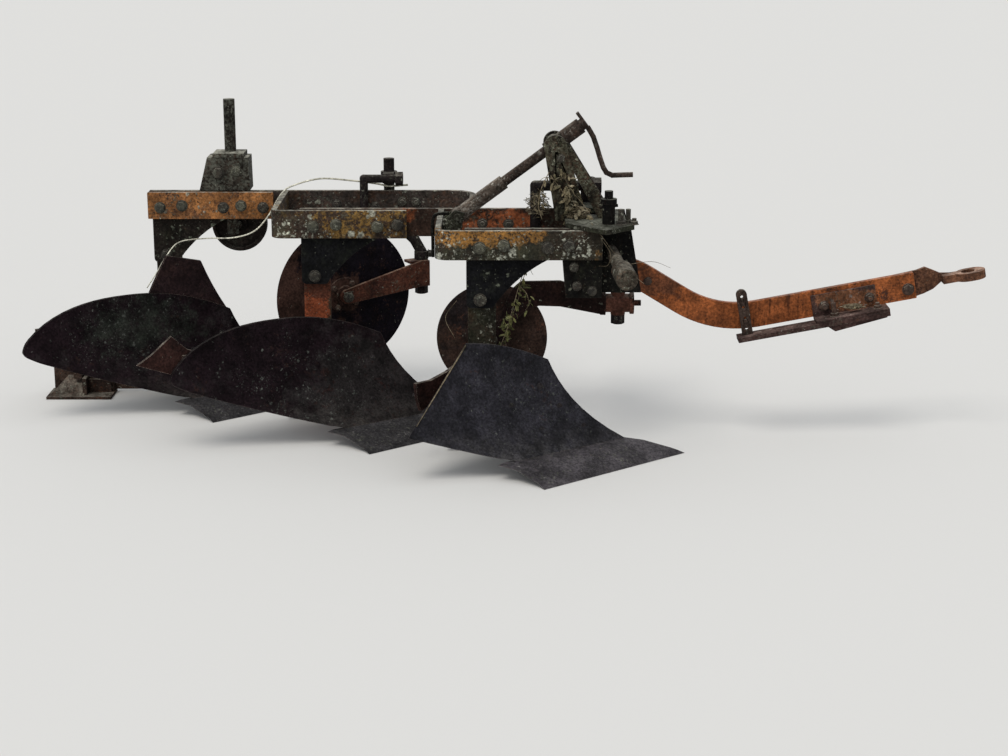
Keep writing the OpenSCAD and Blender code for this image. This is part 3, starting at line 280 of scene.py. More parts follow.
class Effects:
    """Shader node groups that every finish shares. They put out masks and heights only."""

    def __init__(self) -> None:
        """Build the groups."""
        self.patches = self._patches()
        self.lichen = self._lichen()
        self.streaks = self._streaks()
        self.grain = self._grain()
        self.edges = self._edges()
        self.dusty_lit_tops = self._dusty_lit_tops()
        self.zone = self._zone()

    @staticmethod
    def _patches() -> bpy.types.NodeTree:
        """Uneven patches with speckled rims that cover a chosen part of the face.

        Returns:
            The node group.
        """
        graph, place, take, give = mask_group("uneven patches", Scale=8.0, Amount=0.5,
                                              Softness=0.05, Speckle=0.4)
        big = graph.noise(place, take["Scale"], 4.0, 0.6)
        fine = graph.noise(place, graph.times(take["Scale"], 7.0), 4.0, 0.7)
        both = graph.get("ShaderNodeMix", {0: take["Speckle"], 2: big, 3: fine},
                         data_type="FLOAT")
        level = graph.math("MULTIPLY_ADD", graph.minus(1.0, take["Amount"]), 0.5, 0.25)
        graph.put(give["Mask"], graph.step(both, graph.minus(level, take["Softness"]),
                                           graph.plus(level, take["Softness"])))
        return graph.tree

    @staticmethod
    def _lichen() -> bpy.types.NodeTree:
        """Crowds of lichen spots in three sizes, with bent outlines.

        Returns:
            The node group.
        """
        graph, place, take, give = mask_group("lichen spots", ("Mask", "Shade"), Scale=60.0,
                                              Amount=0.3)
        bend = graph.add("ShaderNodeTexNoise", {"Vector": place, "Scale": 85.0, "Detail": 4.0,
                                                "Roughness": 0.7})
        bent = graph.vector("MULTIPLY_ADD", bend.outputs["Color"], (0.02, 0.02, 0.02), place)
        crowd = graph.step(graph.noise(place, 13.0, 3.0, 0.6), 0.38, 0.62)
        wanted = graph.times(take["Amount"], graph.plus(graph.times(crowd, 1.5), 0.25))
        masks = []
        for factor, share in ((1.0, 0.7), (2.1, 1.0), (4.6, 1.3)):
            cell = graph.add("ShaderNodeTexVoronoi", {
                "Vector": bent.outputs[0], "Scale": graph.times(take["Scale"], factor)})
            split = graph.add("ShaderNodeSeparateColor", {0: cell.outputs["Color"]})
            chosen = graph.math("LESS_THAN", split.outputs[1], graph.times(wanted, share))
            radius = graph.times(graph.math("POWER", split.outputs[0], 1.6),
                                 graph.times(chosen, 0.52))
            masks.append(graph.step(graph.minus(radius, cell.outputs["Distance"]),
                                    -0.04, 0.12))
        both = graph.math("MAXIMUM", graph.math("MAXIMUM", masks[0], masks[1]), masks[2])
        graph.put(give["Mask"], both)
        graph.put(give["Shade"], bend.outputs[0])
        return graph.tree

    @staticmethod
    def _streaks() -> bpy.types.NodeTree:
        """Runs of water and rust down an upright face.

        Returns:
            The node group.
        """
        graph, place, take, give = mask_group("rain streaks", Amount=0.5)
        fine = graph.noise(graph.shift(place, 3.1, (1.0, 1.0, 0.08)), 95.0, 4.0, 0.55)
        wide = graph.noise(place, 9.0, 2.0, 0.5)
        both = graph.times(graph.step(fine, 0.48, 0.7), graph.step(wide, 0.4, 0.65))
        graph.put(give["Mask"], graph.times(both, take["Amount"]))
        return graph.tree

    @staticmethod
    def _grain() -> bpy.types.NodeTree:
        """Height of rust pits, scale and fine grain.

        Returns:
            The node group.
        """
        graph, place, take, give = mask_group("steel grain", ("Height", "Fine"), Pits=0.5)
        fine = graph.noise(place, 420.0, 4.0, 0.7)
        pit = graph.add("ShaderNodeTexVoronoi", {"Vector": place, "Scale": 210.0})
        hole = graph.times(graph.step(pit.outputs["Distance"], 0.0, 0.34), take["Pits"])
        scale = graph.noise(place, 55.0, 5.0, 0.6)
        total = graph.plus(graph.times(fine, 0.5), hole)
        graph.put(give["Height"], graph.plus(total, graph.times(scale, 0.7)))
        graph.put(give["Fine"], graph.step(graph.noise(place, 140.0, 4.0, 0.7), 0.32, 0.68))
        return graph.tree

    @staticmethod
    def _edges() -> bpy.types.NodeTree:
        """Worn edges, found by how a rounded normal differs from the true one.

        Returns:
            The node group.
        """
        graph, place, take, give = mask_group("worn edges", Width=0.003)
        rounded = graph.get("ShaderNodeBevel", {"Radius": take["Width"]}, samples=4)
        normal = graph.add("ShaderNodeNewGeometry").outputs["Normal"]
        same = graph.vector("DOT_PRODUCT", rounded, normal).outputs["Value"]
        ragged = graph.minus(graph.noise(place, 130.0, 4.0, 0.7), 0.5)
        total = graph.plus(graph.minus(1.0, same), graph.times(ragged, 0.25))
        graph.put(give["Mask"], graph.step(total, 0.06, 0.2))
        return graph.tree

    @staticmethod
    def _dusty_lit_tops() -> bpy.types.NodeTree:
        """Where a face looks up: dust lies there, and light from above is painted on.

        Returns:
            The node group.
        """
        graph, place, take, give = mask_group("upward faces", Amount=0.6)
        normal = graph.add("ShaderNodeNewGeometry").outputs["Normal"]
        split = graph.add("ShaderNodeSeparateXYZ", {0: normal})
        ragged = graph.step(graph.noise(place, 38.0, 5.0, 0.7), 0.3, 0.62)
        total = graph.times(graph.step(split.outputs[2], 0.55, 0.95), ragged)
        graph.put(give["Mask"], graph.times(total, take["Amount"]))
        return graph.tree

    @staticmethod
    def _zone() -> bpy.types.NodeTree:
        """A soft ball or slab in which a layer is stronger or weaker.

        Returns:
            The node group.
        """
        graph, place, take, give = mask_group("soft zone", Centre=None, Reach=None)
        away = graph.vector("SUBTRACT", place, take["Centre"]).outputs[0]
        share = graph.vector("DIVIDE", away, take["Reach"]).outputs[0]
        far = graph.vector("LENGTH", share).outputs["Value"]
        ragged = graph.minus(graph.noise(place, 24.0, 6.0, 0.75), 0.5)
        graph.put(give["Mask"], graph.step(graph.plus(far, graph.times(ragged, 2.0)), 1.3, 0.5))
        return graph.tree


def tinted(colour: Colour, factor: float) -> Colour:
    """Scale a colour, up to white.

    Args:
        colour: the colour.
        factor: how much lighter it gets.

    Returns:
        The new colour.
    """
    return tuple(min(1.0, c * factor) for c in colour)


def new_material(name: str) -> tuple[bpy.types.Material, Graph]:
    """Start a material with no nodes.

    Args:
        name: its name.

    Returns:
        The material and its graph.
    """
    material = bpy.data.materials.new(name)
    material.use_nodes = True
    material.node_tree.nodes.clear()
    return material, Graph(material.node_tree)


@dataclass(frozen=True)
class Zone:
    """Where a finish shows more or less of one of its layers."""

    layer: str
    centre: Point
    reach: Point
    weight: float


@dataclass(frozen=True)
class Finish:
    """A weathered surface in layers, from the base up; its top layer is dust and painted light on
    upward faces.
    """

    name: str
    base: Colour
    second: Colour
    rust: Colour = (0.04, 0.018, 0.011)
    lichen: Colour = (0.17, 0.17, 0.135)
    algae: Colour = (0.026, 0.028, 0.017)
    # The dust colour and amount also paint light on upward faces.
    dust: Colour = (0.3, 0.28, 0.23)
    bare: Colour = (0.12, 0.1, 0.085)
    fleck: Colour = (0.07, 0.072, 0.055)
    second_amount: float = 0.4
    second_scale: float = 9.0
    rust_amount: float = 0.3
    rust_scale: float = 26.0
    lichen_amount: float = 0.1
    lichen_scale: float = 55.0
    algae_amount: float = 0.2
    algae_scale: float = 17.0
    fleck_amount: float = 0.3
    fleck_scale: float = 16.0
    streak_amount: float = 0.3
    dust_amount: float = 0.6
    edge_amount: float = 0.3
    edge_width: float = 0.0024
    roughness: float = 0.78
    specular: float = 0.05
    bump: float = 0.0009
    pits: float = 0.5
    offset: float = 0.0
    zones: tuple[Zone, ...] = ()

    def build(self, effects: Effects) -> bpy.types.Material:
        """Make the material.

        Args:
            effects: the shared shader groups.

        Returns:
            The material.
        """
        material, graph = new_material(self.name)
        place = graph.add("ShaderNodeTexCoord").outputs["Object"]
        moved = graph.shift(place, self.offset)

        def amount(layer: str) -> Number:
            """A layer's amount with its zones added.

            Args:
                layer: the layer's name.

            Returns:
                A number or a socket.
            """
            total = getattr(self, layer + "_amount")
            for zone in self.zones:
                if zone.layer == layer:
                    mask = graph.group(effects.zone, Vector=place, Centre=at(*zone.centre),
                                       Reach=Vector(zone.reach) * MM)
                    total = graph.plus(total, graph.times(mask.outputs[0], zone.weight))
            return total

        def patches(layer: str, move: float, scale: float, soft: float,
                    speckle: float = 0.4) -> Socket:
            """The patches where a layer shows.

            Args:
                layer: the layer's name.
                move: how far they are moved, so that no two layers match.
                scale: patches a metre.
                soft: how soft their rims are.
                speckle: how speckled they are.

            Returns:
                The mask.
            """
            spot = graph.shift(place, self.offset + move) if move else moved
            return graph.group(effects.patches, Vector=spot, Scale=scale, Softness=soft,
                               Amount=amount(layer), Speckle=speckle).outputs[0]

        grain = graph.group(effects.grain, Vector=moved, Pits=self.pits)
        tone = graph.step(graph.noise(moved, 15.0, 6.0, 0.65), 0.3, 0.7)
        colour = graph.mix(patches("second", 0.0, self.second_scale, 0.09), self.base,
                           self.second)
        rusty = patches("rust", 4.0, self.rust_scale, 0.04, 0.6)
        rust = graph.mix(graph.noise(moved, 90.0, 4.0, 0.7), self.rust, tinted(self.rust, 2.0))
        colour = graph.mix(rusty, colour, rust)
        mossy = patches("algae", 9.0, self.algae_scale, 0.16)
        colour = graph.mix(graph.times(mossy, 0.8), colour, self.algae)
        flecked = patches("fleck", 13.0, self.fleck_scale, 0.05, 0.7)
        colour = graph.mix(graph.times(flecked, 0.75), colour, self.fleck)
        runs = graph.group(effects.streaks, Vector=moved, Amount=self.streak_amount)
        colour = graph.mix(runs.outputs[0], colour, tinted(self.rust, 0.4))
        worn = graph.group(effects.edges, Vector=moved, Width=self.edge_width).outputs[0]
        colour = graph.mix(graph.times(worn, self.edge_amount), colour, self.bare)
        spots = graph.group(effects.lichen, Vector=moved, Scale=self.lichen_scale,
                            Amount=amount("lichen"))
        lichen = graph.mix(graph.step(spots.outputs["Shade"], 0.35, 0.65),
                           tinted(self.lichen, 0.45), tinted(self.lichen, 1.5))
        colour = graph.mix(graph.times(spots.outputs["Mask"], 0.8), colour, lichen)
        # Paler upward faces: partly dust, partly painted light where the sun catches the tops.
        dust = graph.group(effects.dusty_lit_tops, Vector=moved, Amount=amount("dust"))
        colour = graph.mix(dust.outputs[0], colour, self.dust)
        shade = graph.math("MULTIPLY_ADD", tone, 1.0, 0.5)
        dark = graph.times(shade, graph.math("MULTIPLY_ADD", grain.outputs["Fine"], 0.9, 0.55))
        grey = graph.get("ShaderNodeCombineColor", {0: dark, 1: dark, 2: dark})

        rise = graph.plus(grain.outputs["Height"], graph.times(spots.outputs["Mask"], 1.2))
        bump = graph.get("ShaderNodeBump", {
            "Height": graph.plus(rise, graph.times(rusty, 0.6)), "Distance": self.bump,
            "Strength": 0.8})
        rough = graph.math("ADD", self.roughness, graph.times(graph.minus(tone, 0.5), 0.25),
                           clamp=True)
        graph.surface({"Base Color": graph.mix(1.0, colour, grey, "MULTIPLY"),
                       "Roughness": rough, "Metallic": 0.0,
                       "Specular IOR Level": self.specular, "Normal": bump})
        return material


# Families of finishes that share values
# Pale colour of dust and of painted light on upward faces, such as the tops of the painted bars.
PALE_DUST_AND_TOP_LIGHT = (0.3, 0.29, 0.24)
painted = partial(Finish, dust=PALE_DUST_AND_TOP_LIGHT, dust_amount=0.8, edge_amount=0.4, specular=0.12)
board_steel = partial(Finish, lichen=(0.05, 0.053, 0.047), second_scale=3.5, streak_amount=0.0,
                      edge_amount=0.45, bump=0.0004, pits=0.3)
share_steel = partial(Finish, second_scale=6.0, rust_amount=0.25, lichen_scale=130,
                      algae_amount=0.0, streak_amount=0.0, dust_amount=0.1, edge_amount=0.45,
                      bump=0.0005)
disc_steel = partial(Finish, second_scale=6.0, lichen_amount=0.01, algae_amount=0.08,
                     fleck_amount=0.05, dust_amount=0.1, edge_amount=0.4, bump=0.0006)
maroon_steel = partial(Finish, rust_amount=0.25, lichen_amount=0.01, algae_amount=0.05,
                       fleck_amount=0.05, edge_amount=0.6)
bolt_steel = partial(Finish, second_scale=40.0, lichen_scale=120)
dry_plant = partial(Finish, lichen_amount=0.0, fleck_amount=0.0, streak_amount=0.0,
                    dust_amount=0.3, edge_amount=0.0, bump=0.0002)

# Finishes by part, tuned against the photo region by region. Their colours are set to how the faces
# looking towards the camera appeared while in shade, so painted shade is in them, most of all in the
# moldboards' near-black colours.
FINISHES = {
    "front_bar": painted(
        "front bar paint", (0.23, 0.11, 0.028), (0.02, 0.016, 0.011), second_amount=0.82,
        rust=(0.02, 0.013, 0.009), rust_amount=0.42, rust_scale=16, lichen=(0.28, 0.28, 0.23),
        lichen_amount=0.2, lichen_scale=34, algae=(0.036, 0.037, 0.022), algae_amount=0.22, offset=1.0,
        zones=(Zone("second", (30, 0, 645), (190, 70, 36), -0.85),
               Zone("second", (190, 0, 645), (60, 60, 22), -0.4),
               Zone("lichen", (-70, 30, 615), (46, 90, 60), 0.75),
               Zone("lichen", (90, 0, 588), (260, 60, 28), 0.4),
               Zone("lichen", (345, 0, 612), (52, 60, 36), 0.6),
               Zone("algae", (60, 0, 592), (190, 60, 34), 0.3),
               Zone("second", (290, 0, 610), (60, 60, 60), 0.6))),
    "mid_bar": painted(
        "middle bar paint", (0.15, 0.085, 0.024), (0.024, 0.017, 0.011), second_amount=0.52,
        second_scale=6.0, rust=(0.022, 0.014, 0.01), rust_amount=0.5, rust_scale=14,
        lichen=(0.3, 0.3, 0.24), lichen_amount=0.22, lichen_scale=34, algae=(0.06, 0.062, 0.036),
        algae_amount=0.18, offset=2.3,
        zones=(Zone("lichen", (-545, 340, 612), (80, 80, 60), 0.6),
               Zone("algae", (-540, 340, 610), (110, 90, 60), 0.12),
               Zone("rust", (-520, 340, 600), (80, 90, 40), 0.3),
               Zone("second", (-325, 330, 614), (60, 60, 60), -0.45),
               Zone("second", (-430, 330, 620), (70, 60, 40), -0.3),
               Zone("second", (-230, 330, 618), (60, 60, 40), -0.25),
               Zone("lichen", (-400, 330, 582), (200, 60, 20), 0.3))),
    "rear_bar": painted(
        "rear bar paint", (0.27, 0.115, 0.038), (0.1, 0.045, 0.022), second_amount=0.45,
        rust=(0.02, 0.012, 0.009), rust_amount=0.34, rust_scale=20, algae_amount=0.1, dust_amount=0.75,
        offset=3.7,
        zones=(Zone("second", (-640, 660, 620), (70, 60, 50), -0.3),)),
    "far_bar": Finish(
        "far bar primer", (0.038, 0.03, 0.026), (0.058, 0.031, 0.02), rust=(0.02, 0.014, 0.011),
        rust_amount=0.35, rust_scale=14, lichen_amount=0.16, lichen_scale=40, offset=5.1),
    "far_bar_mid": Finish(
        "middle far bar primer", (0.034, 0.02, 0.015), (0.2, 0.06, 0.024), second_amount=0.18,
        rust=(0.024, 0.014, 0.01), rust_amount=0.4, rust_scale=14, lichen_amount=0.12, offset=6.4,
        zones=(Zone("second", (95, 366, 612), (130, 60, 60), 0.5),
               Zone("second", (-215, 366, 640), (80, 60, 30), 0.4))),
    "leg": Finish(
        "shank steel", (0.0062, 0.0062, 0.0066), (0.0035, 0.0035, 0.0045), second_amount=0.5,
        rust=(0.014, 0.01, 0.008), rust_amount=0.15, lichen=(0.08, 0.085, 0.065), lichen_amount=0.12,
        lichen_scale=34, algae=(0.017, 0.019, 0.012), algae_amount=0.22, fleck=(0.035, 0.037, 0.028),
        fleck_amount=0.14, dust_amount=0.5, edge_amount=0.15, offset=7.7),
    "leg_rear": Finish(
        "rear shank steel", (0.016, 0.0125, 0.0105), (0.009, 0.0075, 0.006), second_amount=0.45,
        rust=(0.03, 0.018, 0.012), rust_amount=0.25, lichen=(0.11, 0.12, 0.09), lichen_amount=0.25,
        lichen_scale=34, fleck_amount=0.25, dust_amount=0.5, edge_amount=0.2, offset=7.2),
    "frog": Finish(
        "frog primer", (0.19, 0.05, 0.022), (0.03, 0.021, 0.014), second_amount=0.15,
        rust=(0.05, 0.018, 0.011), lichen_amount=0.12, algae_amount=0.1, dust_amount=0.5, offset=8.2,
        zones=(Zone("second", (-404, 360, 370), (26, 90, 120), 0.7),
               Zone("rust", (-460, 360, 418), (70, 90, 40), 0.45))),
    "frog_dark": Finish(
        "dark frog", (0.016, 0.013, 0.01), (0.028, 0.016, 0.01), rust_amount=0.25, lichen_amount=0.16,
        algae_amount=0.4, dust_amount=0.5, offset=9.2),
    # Near-black base: the board's own dark steel with painted shade in it.
    "board": board_steel(
        "moldboard steel", (0.0075, 0.0045, 0.0056), (0.0145, 0.0125, 0.0125), second_amount=0.35,
        rust=(0.011, 0.006, 0.0055), rust_scale=8.0, lichen_amount=0.03, lichen_scale=70,
        algae=(0.018, 0.022, 0.017), algae_amount=0.04, fleck=(0.021, 0.022, 0.019), fleck_amount=0.06,
        dust_amount=0.06, bare=(0.1, 0.085, 0.075), roughness=0.72, specular=0.03, offset=10.4,
        zones=(Zone("lichen", (-1060, 520, 250), (190, 260, 120), 0.3),
               Zone("algae", (-1040, 560, 260), (210, 260, 100), 0.5),
               Zone("lichen", (-470, 140, 170), (230, 260, 130), 0.26),
               Zone("second", (-330, 230, 130), (230, 260, 150), 0.35))),
    "board_front": board_steel(
        "front moldboard steel", (0.0135, 0.013, 0.0155), (0.0195, 0.0185, 0.023), second_amount=0.45,
        rust=(0.018, 0.012, 0.012), rust_amount=0.25, rust_scale=9.0, lichen_scale=130,
        algae_amount=0.0, fleck=(0.036, 0.036, 0.036), fleck_amount=0.22, dust_amount=0.08,
        bare=(0.13, 0.11, 0.1), roughness=0.7, offset=11.9,
        zones=(Zone("lichen", (200, -60, 190), (170, 130, 100), 0.22),)),
    "share": share_steel(
        "share steel", (0.024, 0.0225, 0.0238), (0.016, 0.0145, 0.016), rust=(0.03, 0.019, 0.015),
        lichen=(0.09, 0.085, 0.08), dust=(0.1, 0.095, 0.09), bare=(0.14, 0.125, 0.115), roughness=0.65,
        specular=0.06, offset=12.6),
    "share_front": share_steel(
        "front share steel", (0.042, 0.0375, 0.0415), (0.029, 0.0255, 0.029),
        rust=(0.045, 0.03, 0.025), lichen=(0.11, 0.105, 0.1), dust=(0.12, 0.115, 0.11),
        bare=(0.16, 0.145, 0.135), roughness=0.62, specular=0.08, offset=12.1),
    "disc": disc_steel(
        "disc steel", (0.0055, 0.0042, 0.0065), (0.04, 0.021, 0.016), second_amount=0.22,
        rust=(0.024, 0.012, 0.009), roughness=0.72, offset=13.3,
        zones=(Zone("second", (-580, 520, 330), (90, 140, 220), 0.55),
               Zone("second", (-430, 600, 200), (110, 120, 60), 0.3),
               Zone("second", (-395, 590, 350), (62, 120, 60), 0.6))),
    "disc_mid": disc_steel(
        "middle disc steel", (0.032, 0.019, 0.0145), (0.016, 0.012, 0.012), second_amount=0.45,
        rust=(0.045, 0.02, 0.013), bare=(0.13, 0.11, 0.09), offset=13.9),
    "trash": maroon_steel(
        "maroon steel", (0.013, 0.0075, 0.008), (0.022, 0.012, 0.011), rust=(0.03, 0.013, 0.01),
        dust_amount=0.2, bare=(0.2, 0.16, 0.13), offset=13.6),
    "arm": Finish(
        "coulter arm rust", (0.06, 0.022, 0.014), (0.03, 0.0125, 0.01), second_amount=0.35,
        second_scale=14.0, rust=(0.12, 0.046, 0.024), rust_amount=0.25, rust_scale=40,
        lichen_amount=0.05, dust=(0.22, 0.15, 0.11), dust_amount=0.7, edge_amount=0.35, specular=0.08,
        offset=14.8),
    "arm_dark": Finish(
        "dark coulter arm", (0.0105, 0.0055, 0.005), (0.018, 0.009, 0.0075), second_amount=0.35,
        rust=(0.06, 0.026, 0.018), rust_amount=0.2, lichen_amount=0.05, algae_amount=0.08,
        fleck_amount=0.15, dust_amount=0.3, edge_amount=0.25, offset=14.2,
        zones=(Zone("rust", (456, 412, 350), (56, 56, 70), 0.6),)),
    "rust": Finish(
        "brown rust", (0.042, 0.027, 0.021), (0.022, 0.015, 0.013), rust=(0.075, 0.03, 0.016),
        dust_amount=0.4, edge_amount=0.35, offset=15.5),
    "maroon": maroon_steel(
        "maroon stay", (0.026, 0.012, 0.01), (0.014, 0.008, 0.0075), rust=(0.045, 0.018, 0.012),
        dust_amount=0.4, bare=(0.26, 0.22, 0.18), offset=15.9),
    "sleeve": Finish(
        "link pin steel", (0.07, 0.057, 0.043), (0.022, 0.018, 0.014), second_amount=0.5,
        rust=(0.09, 0.045, 0.026), lichen_amount=0.34, algae=(0.06, 0.062, 0.042), dust_amount=0.3,
        offset=15.1),
    "dark": Finish(
        "dark grimy steel", (0.0065, 0.006, 0.0052), (0.0032, 0.003, 0.0032),
        rust=(0.026, 0.014, 0.009), rust_amount=0.25, lichen=(0.1, 0.1, 0.075),
        fleck=(0.05, 0.05, 0.038), fleck_amount=0.22, dust=(0.2, 0.2, 0.16), dust_amount=0.7,
        edge_amount=0.25, offset=16.1),
    "plate": Finish(
        "mossy top plate", (0.02, 0.0185, 0.0135), (0.01, 0.009, 0.007), rust=(0.035, 0.022, 0.015),
        rust_amount=0.2, lichen=(0.19, 0.19, 0.15), lichen_amount=0.35, algae=(0.045, 0.05, 0.03),
        algae_amount=0.4, fleck_amount=0.4, dust=(0.17, 0.17, 0.14), dust_amount=0.55, edge_amount=0.4,
        offset=16.6),
    "clamp": Finish(
        "coulter clamp steel", (0.016, 0.0125, 0.0125), (0.009, 0.0075, 0.008),
        rust=(0.035, 0.017, 0.012), lichen_amount=0.08, algae_amount=0.1, dust_amount=0.3,
        edge_amount=0.25, offset=16.9),
    "bracket": Finish(
        "wheel bracket steel", (0.046, 0.036, 0.028), (0.014, 0.011, 0.009), second_amount=0.5,
        rust=(0.045, 0.026, 0.017), lichen=(0.15, 0.15, 0.12), lichen_amount=0.25, algae_amount=0.16,
        fleck=(0.085, 0.087, 0.07), fleck_amount=0.5, dust=PALE_DUST_AND_TOP_LIGHT, dust_amount=0.8,
        edge_amount=0.35, offset=17.9),
    "wheel": Finish(
        "depth wheel steel", (0.024, 0.0185, 0.016), (0.01, 0.009, 0.0085), second_amount=0.45,
        rust=(0.045, 0.02, 0.013), rust_amount=0.25, lichen_amount=0.08, algae_amount=0.15,
        dust_amount=0.3, offset=17.3),
    "tube": Finish(
        "tube steel", (0.06, 0.046, 0.036), (0.03, 0.024, 0.019), rust=(0.05, 0.03, 0.02),
        lichen=(0.2, 0.19, 0.165), lichen_amount=0.3, lichen_scale=70, algae_amount=0.15,
        fleck=(0.15, 0.135, 0.115), fleck_amount=0.4, dust=(0.26, 0.23, 0.19), offset=18.2),
    "rod": Finish(
        "screw rod steel", (0.036, 0.026, 0.021), (0.017, 0.013, 0.011), rust=(0.045, 0.025, 0.017),
        lichen=(0.14, 0.13, 0.11), lichen_amount=0.18, algae_amount=0.1, fleck=(0.1, 0.09, 0.075),
        dust=(0.18, 0.15, 0.12), offset=18.7),
    "mast": Finish(
        "mast steel", (0.056, 0.044, 0.029), (0.01, 0.0085, 0.0065), second_amount=0.58,
        rust=(0.03, 0.018, 0.012), rust_amount=0.4, rust_scale=14, lichen=(0.16, 0.16, 0.12),
        lichen_amount=0.3, algae=(0.05, 0.052, 0.026), algae_amount=0.15, fleck=(0.075, 0.073, 0.05),
        fleck_amount=0.45, offset=19.4),
    "drawbar": Finish(
        "drawbar paint", (0.22, 0.065, 0.02), (0.095, 0.034, 0.016), second_amount=0.14,
        second_scale=8.0, rust=(0.03, 0.014, 0.01), rust_amount=0.2, rust_scale=44, lichen_amount=0.0,
        algae_amount=0.04, fleck_amount=0.05, streak_amount=0.8, dust=(0.36, 0.22, 0.16),
        bare=(0.3, 0.17, 0.11), edge_amount=0.45, roughness=0.7, specular=0.1, offset=20.7,
        zones=(Zone("second", (560, 200, 480), (130, 60, 60), 0.55),
               Zone("second", (760, 200, 385), (110, 60, 60), -0.25),
               Zone("rust", (1100, 200, 430), (150, 60, 60), 0.2),
               Zone("rust", (1290, 200, 455), (100, 60, 60), 0.15))),
    "end": Finish(
        "tongue rust", (0.125, 0.058, 0.033), (0.07, 0.034, 0.022), rust=(0.03, 0.016, 0.012),
        rust_amount=0.35, lichen_amount=0.03, algae_amount=0.08, fleck_amount=0.1,
        dust=(0.3, 0.2, 0.15), bare=(0.26, 0.17, 0.12), edge_amount=0.4, offset=21.3,
        # More dust and painted light on the tongue's rounded end.
        zones=(Zone("dust", (1430, 200, 480), (90, 60, 60), 0.4),)),
    "long_bar": Finish(
        "long bar rust", (0.042, 0.024, 0.021), (0.145, 0.062, 0.032), second_amount=0.12,
        rust=(0.03, 0.018, 0.015), lichen=(0.2, 0.17, 0.15), lichen_amount=0.12, algae_amount=0.05,
        dust=(0.2, 0.14, 0.12), dust_amount=0.45, edge_amount=0.35, offset=22.8,
        zones=(Zone("second", (1115, 192, 416), (120, 14, 36), 0.75),)),
    "strap": Finish(
        "strap steel", (0.036, 0.024, 0.019), (0.02, 0.015, 0.013), rust=(0.06, 0.03, 0.02),
        rust_amount=0.25, lichen_amount=0.06, algae_amount=0.08, dust_amount=0.4, edge_amount=0.35,
        offset=22.2),
    "bolt": bolt_steel(
        "mossy bolt", (0.028, 0.0235, 0.0175), (0.014, 0.012, 0.01), rust=(0.035, 0.018, 0.012),
        lichen=(0.14, 0.14, 0.11), lichen_amount=0.25, fleck=(0.08, 0.082, 0.062), fleck_amount=0.4,
        dust_amount=0.5, edge_amount=0.5, specular=0.25, offset=23.1),
    "bolt_pale": bolt_steel(
        "pale mossy bolt", (0.055, 0.054, 0.037), (0.02, 0.019, 0.014), rust=(0.04, 0.022, 0.014),
        rust_amount=0.2, rust_scale=60, lichen=(0.24, 0.24, 0.19), lichen_amount=0.28,
        fleck=(0.15, 0.155, 0.12), edge_amount=0.35, specular=0.3, offset=23.9),
    "bolt_rust": bolt_steel(
        "rusty bolt", (0.055, 0.032, 0.023), (0.028, 0.019, 0.015), rust=(0.08, 0.036, 0.02),
        lichen_amount=0.08, dust_amount=0.4, edge_amount=0.35, specular=0.2, offset=23.8),
    "bolt_board": Finish(
        "worn plough bolt", (0.017, 0.015, 0.016), (0.011, 0.009, 0.01), rust=(0.02, 0.013, 0.011),
        rust_amount=0.25, lichen_amount=0.04, algae_amount=0.0, dust_amount=0.05, edge_amount=0.2,
        specular=0.08, bump=0.0003, offset=23.4),
    "stem": dry_plant(
        "pale stem", (0.6, 0.58, 0.48), (0.42, 0.4, 0.32), second_amount=0.45, rust=(0.16, 0.12, 0.07),
        rust_amount=0.06, algae_amount=0.0, dust_amount=0.2, offset=24.4),
    "vine": dry_plant(
        "dry vine", (0.2, 0.16, 0.105), (0.06, 0.048, 0.03), second_amount=0.45,
        rust=(0.04, 0.03, 0.018), rust_amount=0.2, algae_amount=0.0, offset=24.9),
    "leaf": dry_plant(
        "dry leaf", (0.19, 0.155, 0.095), (0.055, 0.05, 0.028), second_amount=0.45, second_scale=30.0,
        rust=(0.07, 0.045, 0.02), rust_amount=0.2, algae_amount=0.1, offset=25.6),
    "green_leaf": dry_plant(
        "yellow green leaf", (0.13, 0.125, 0.048), (0.05, 0.055, 0.024), second_amount=0.45,
        second_scale=30.0, rust=(0.07, 0.05, 0.02), rust_amount=0.15, algae_amount=0.1,
        dust=(0.2, 0.19, 0.1), offset=25.1),
}


class Paintbox:
    """Makes each finish once and hands it out by name."""

    def __init__(self, effects: Effects) -> None:
        """Keep the shared shader groups."""
        self.effects = effects
        self.made: dict[str, bpy.types.Material] = {}

    def get(self, name: str) -> bpy.types.Material:
        """Find or make a finish.

        Args:
            name: a key of FINISHES.

        Returns:
            The material.
        """
        if name not in self.made:
            self.made[name] = FINISHES[name].build(self.effects)
        return self.made[name]


# Mesh making


def ride_mesh(name: str, mesh: bpy.types.Mesh, material: bpy.types.Material, body: Body,
              smooth: bool) -> None:
    """Link a mesh as an object that rides on a CAD body, and report it.

    Args:
        name: the object's name.
        mesh: its mesh, in the row frame.
        material: its finish.
        body: the CAD body that it rides on.
        smooth: whether its faces are shaded smooth.
    """
    if not mesh.materials:
        mesh.materials.append(material)
    mesh.polygons.foreach_set("use_smooth", [smooth] * len(mesh.polygons))
    thing = bpy.data.objects.new(name, mesh)
    bpy.context.scene.collection.objects.link(thing)
    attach(thing, body.value)
    LOG.info("made %s", name)


def circle(centre: Vector, side: Vector, other: Vector, radius: float,
           sides: int) -> list[Vector]:
    """Find the corners of a circle.

    Args:
        centre: its centre.
        side: a unit vector in its plane.
        other: the unit vector in its plane that is square to side.
        radius: its radius.
        sides: how many corners it has.

    Returns:
        The corners, in order.
    """
    turns = (math.tau * j / sides for j in range(sides))
    return [centre + (side * math.cos(a) + other * math.sin(a)) * radius for a in turns]


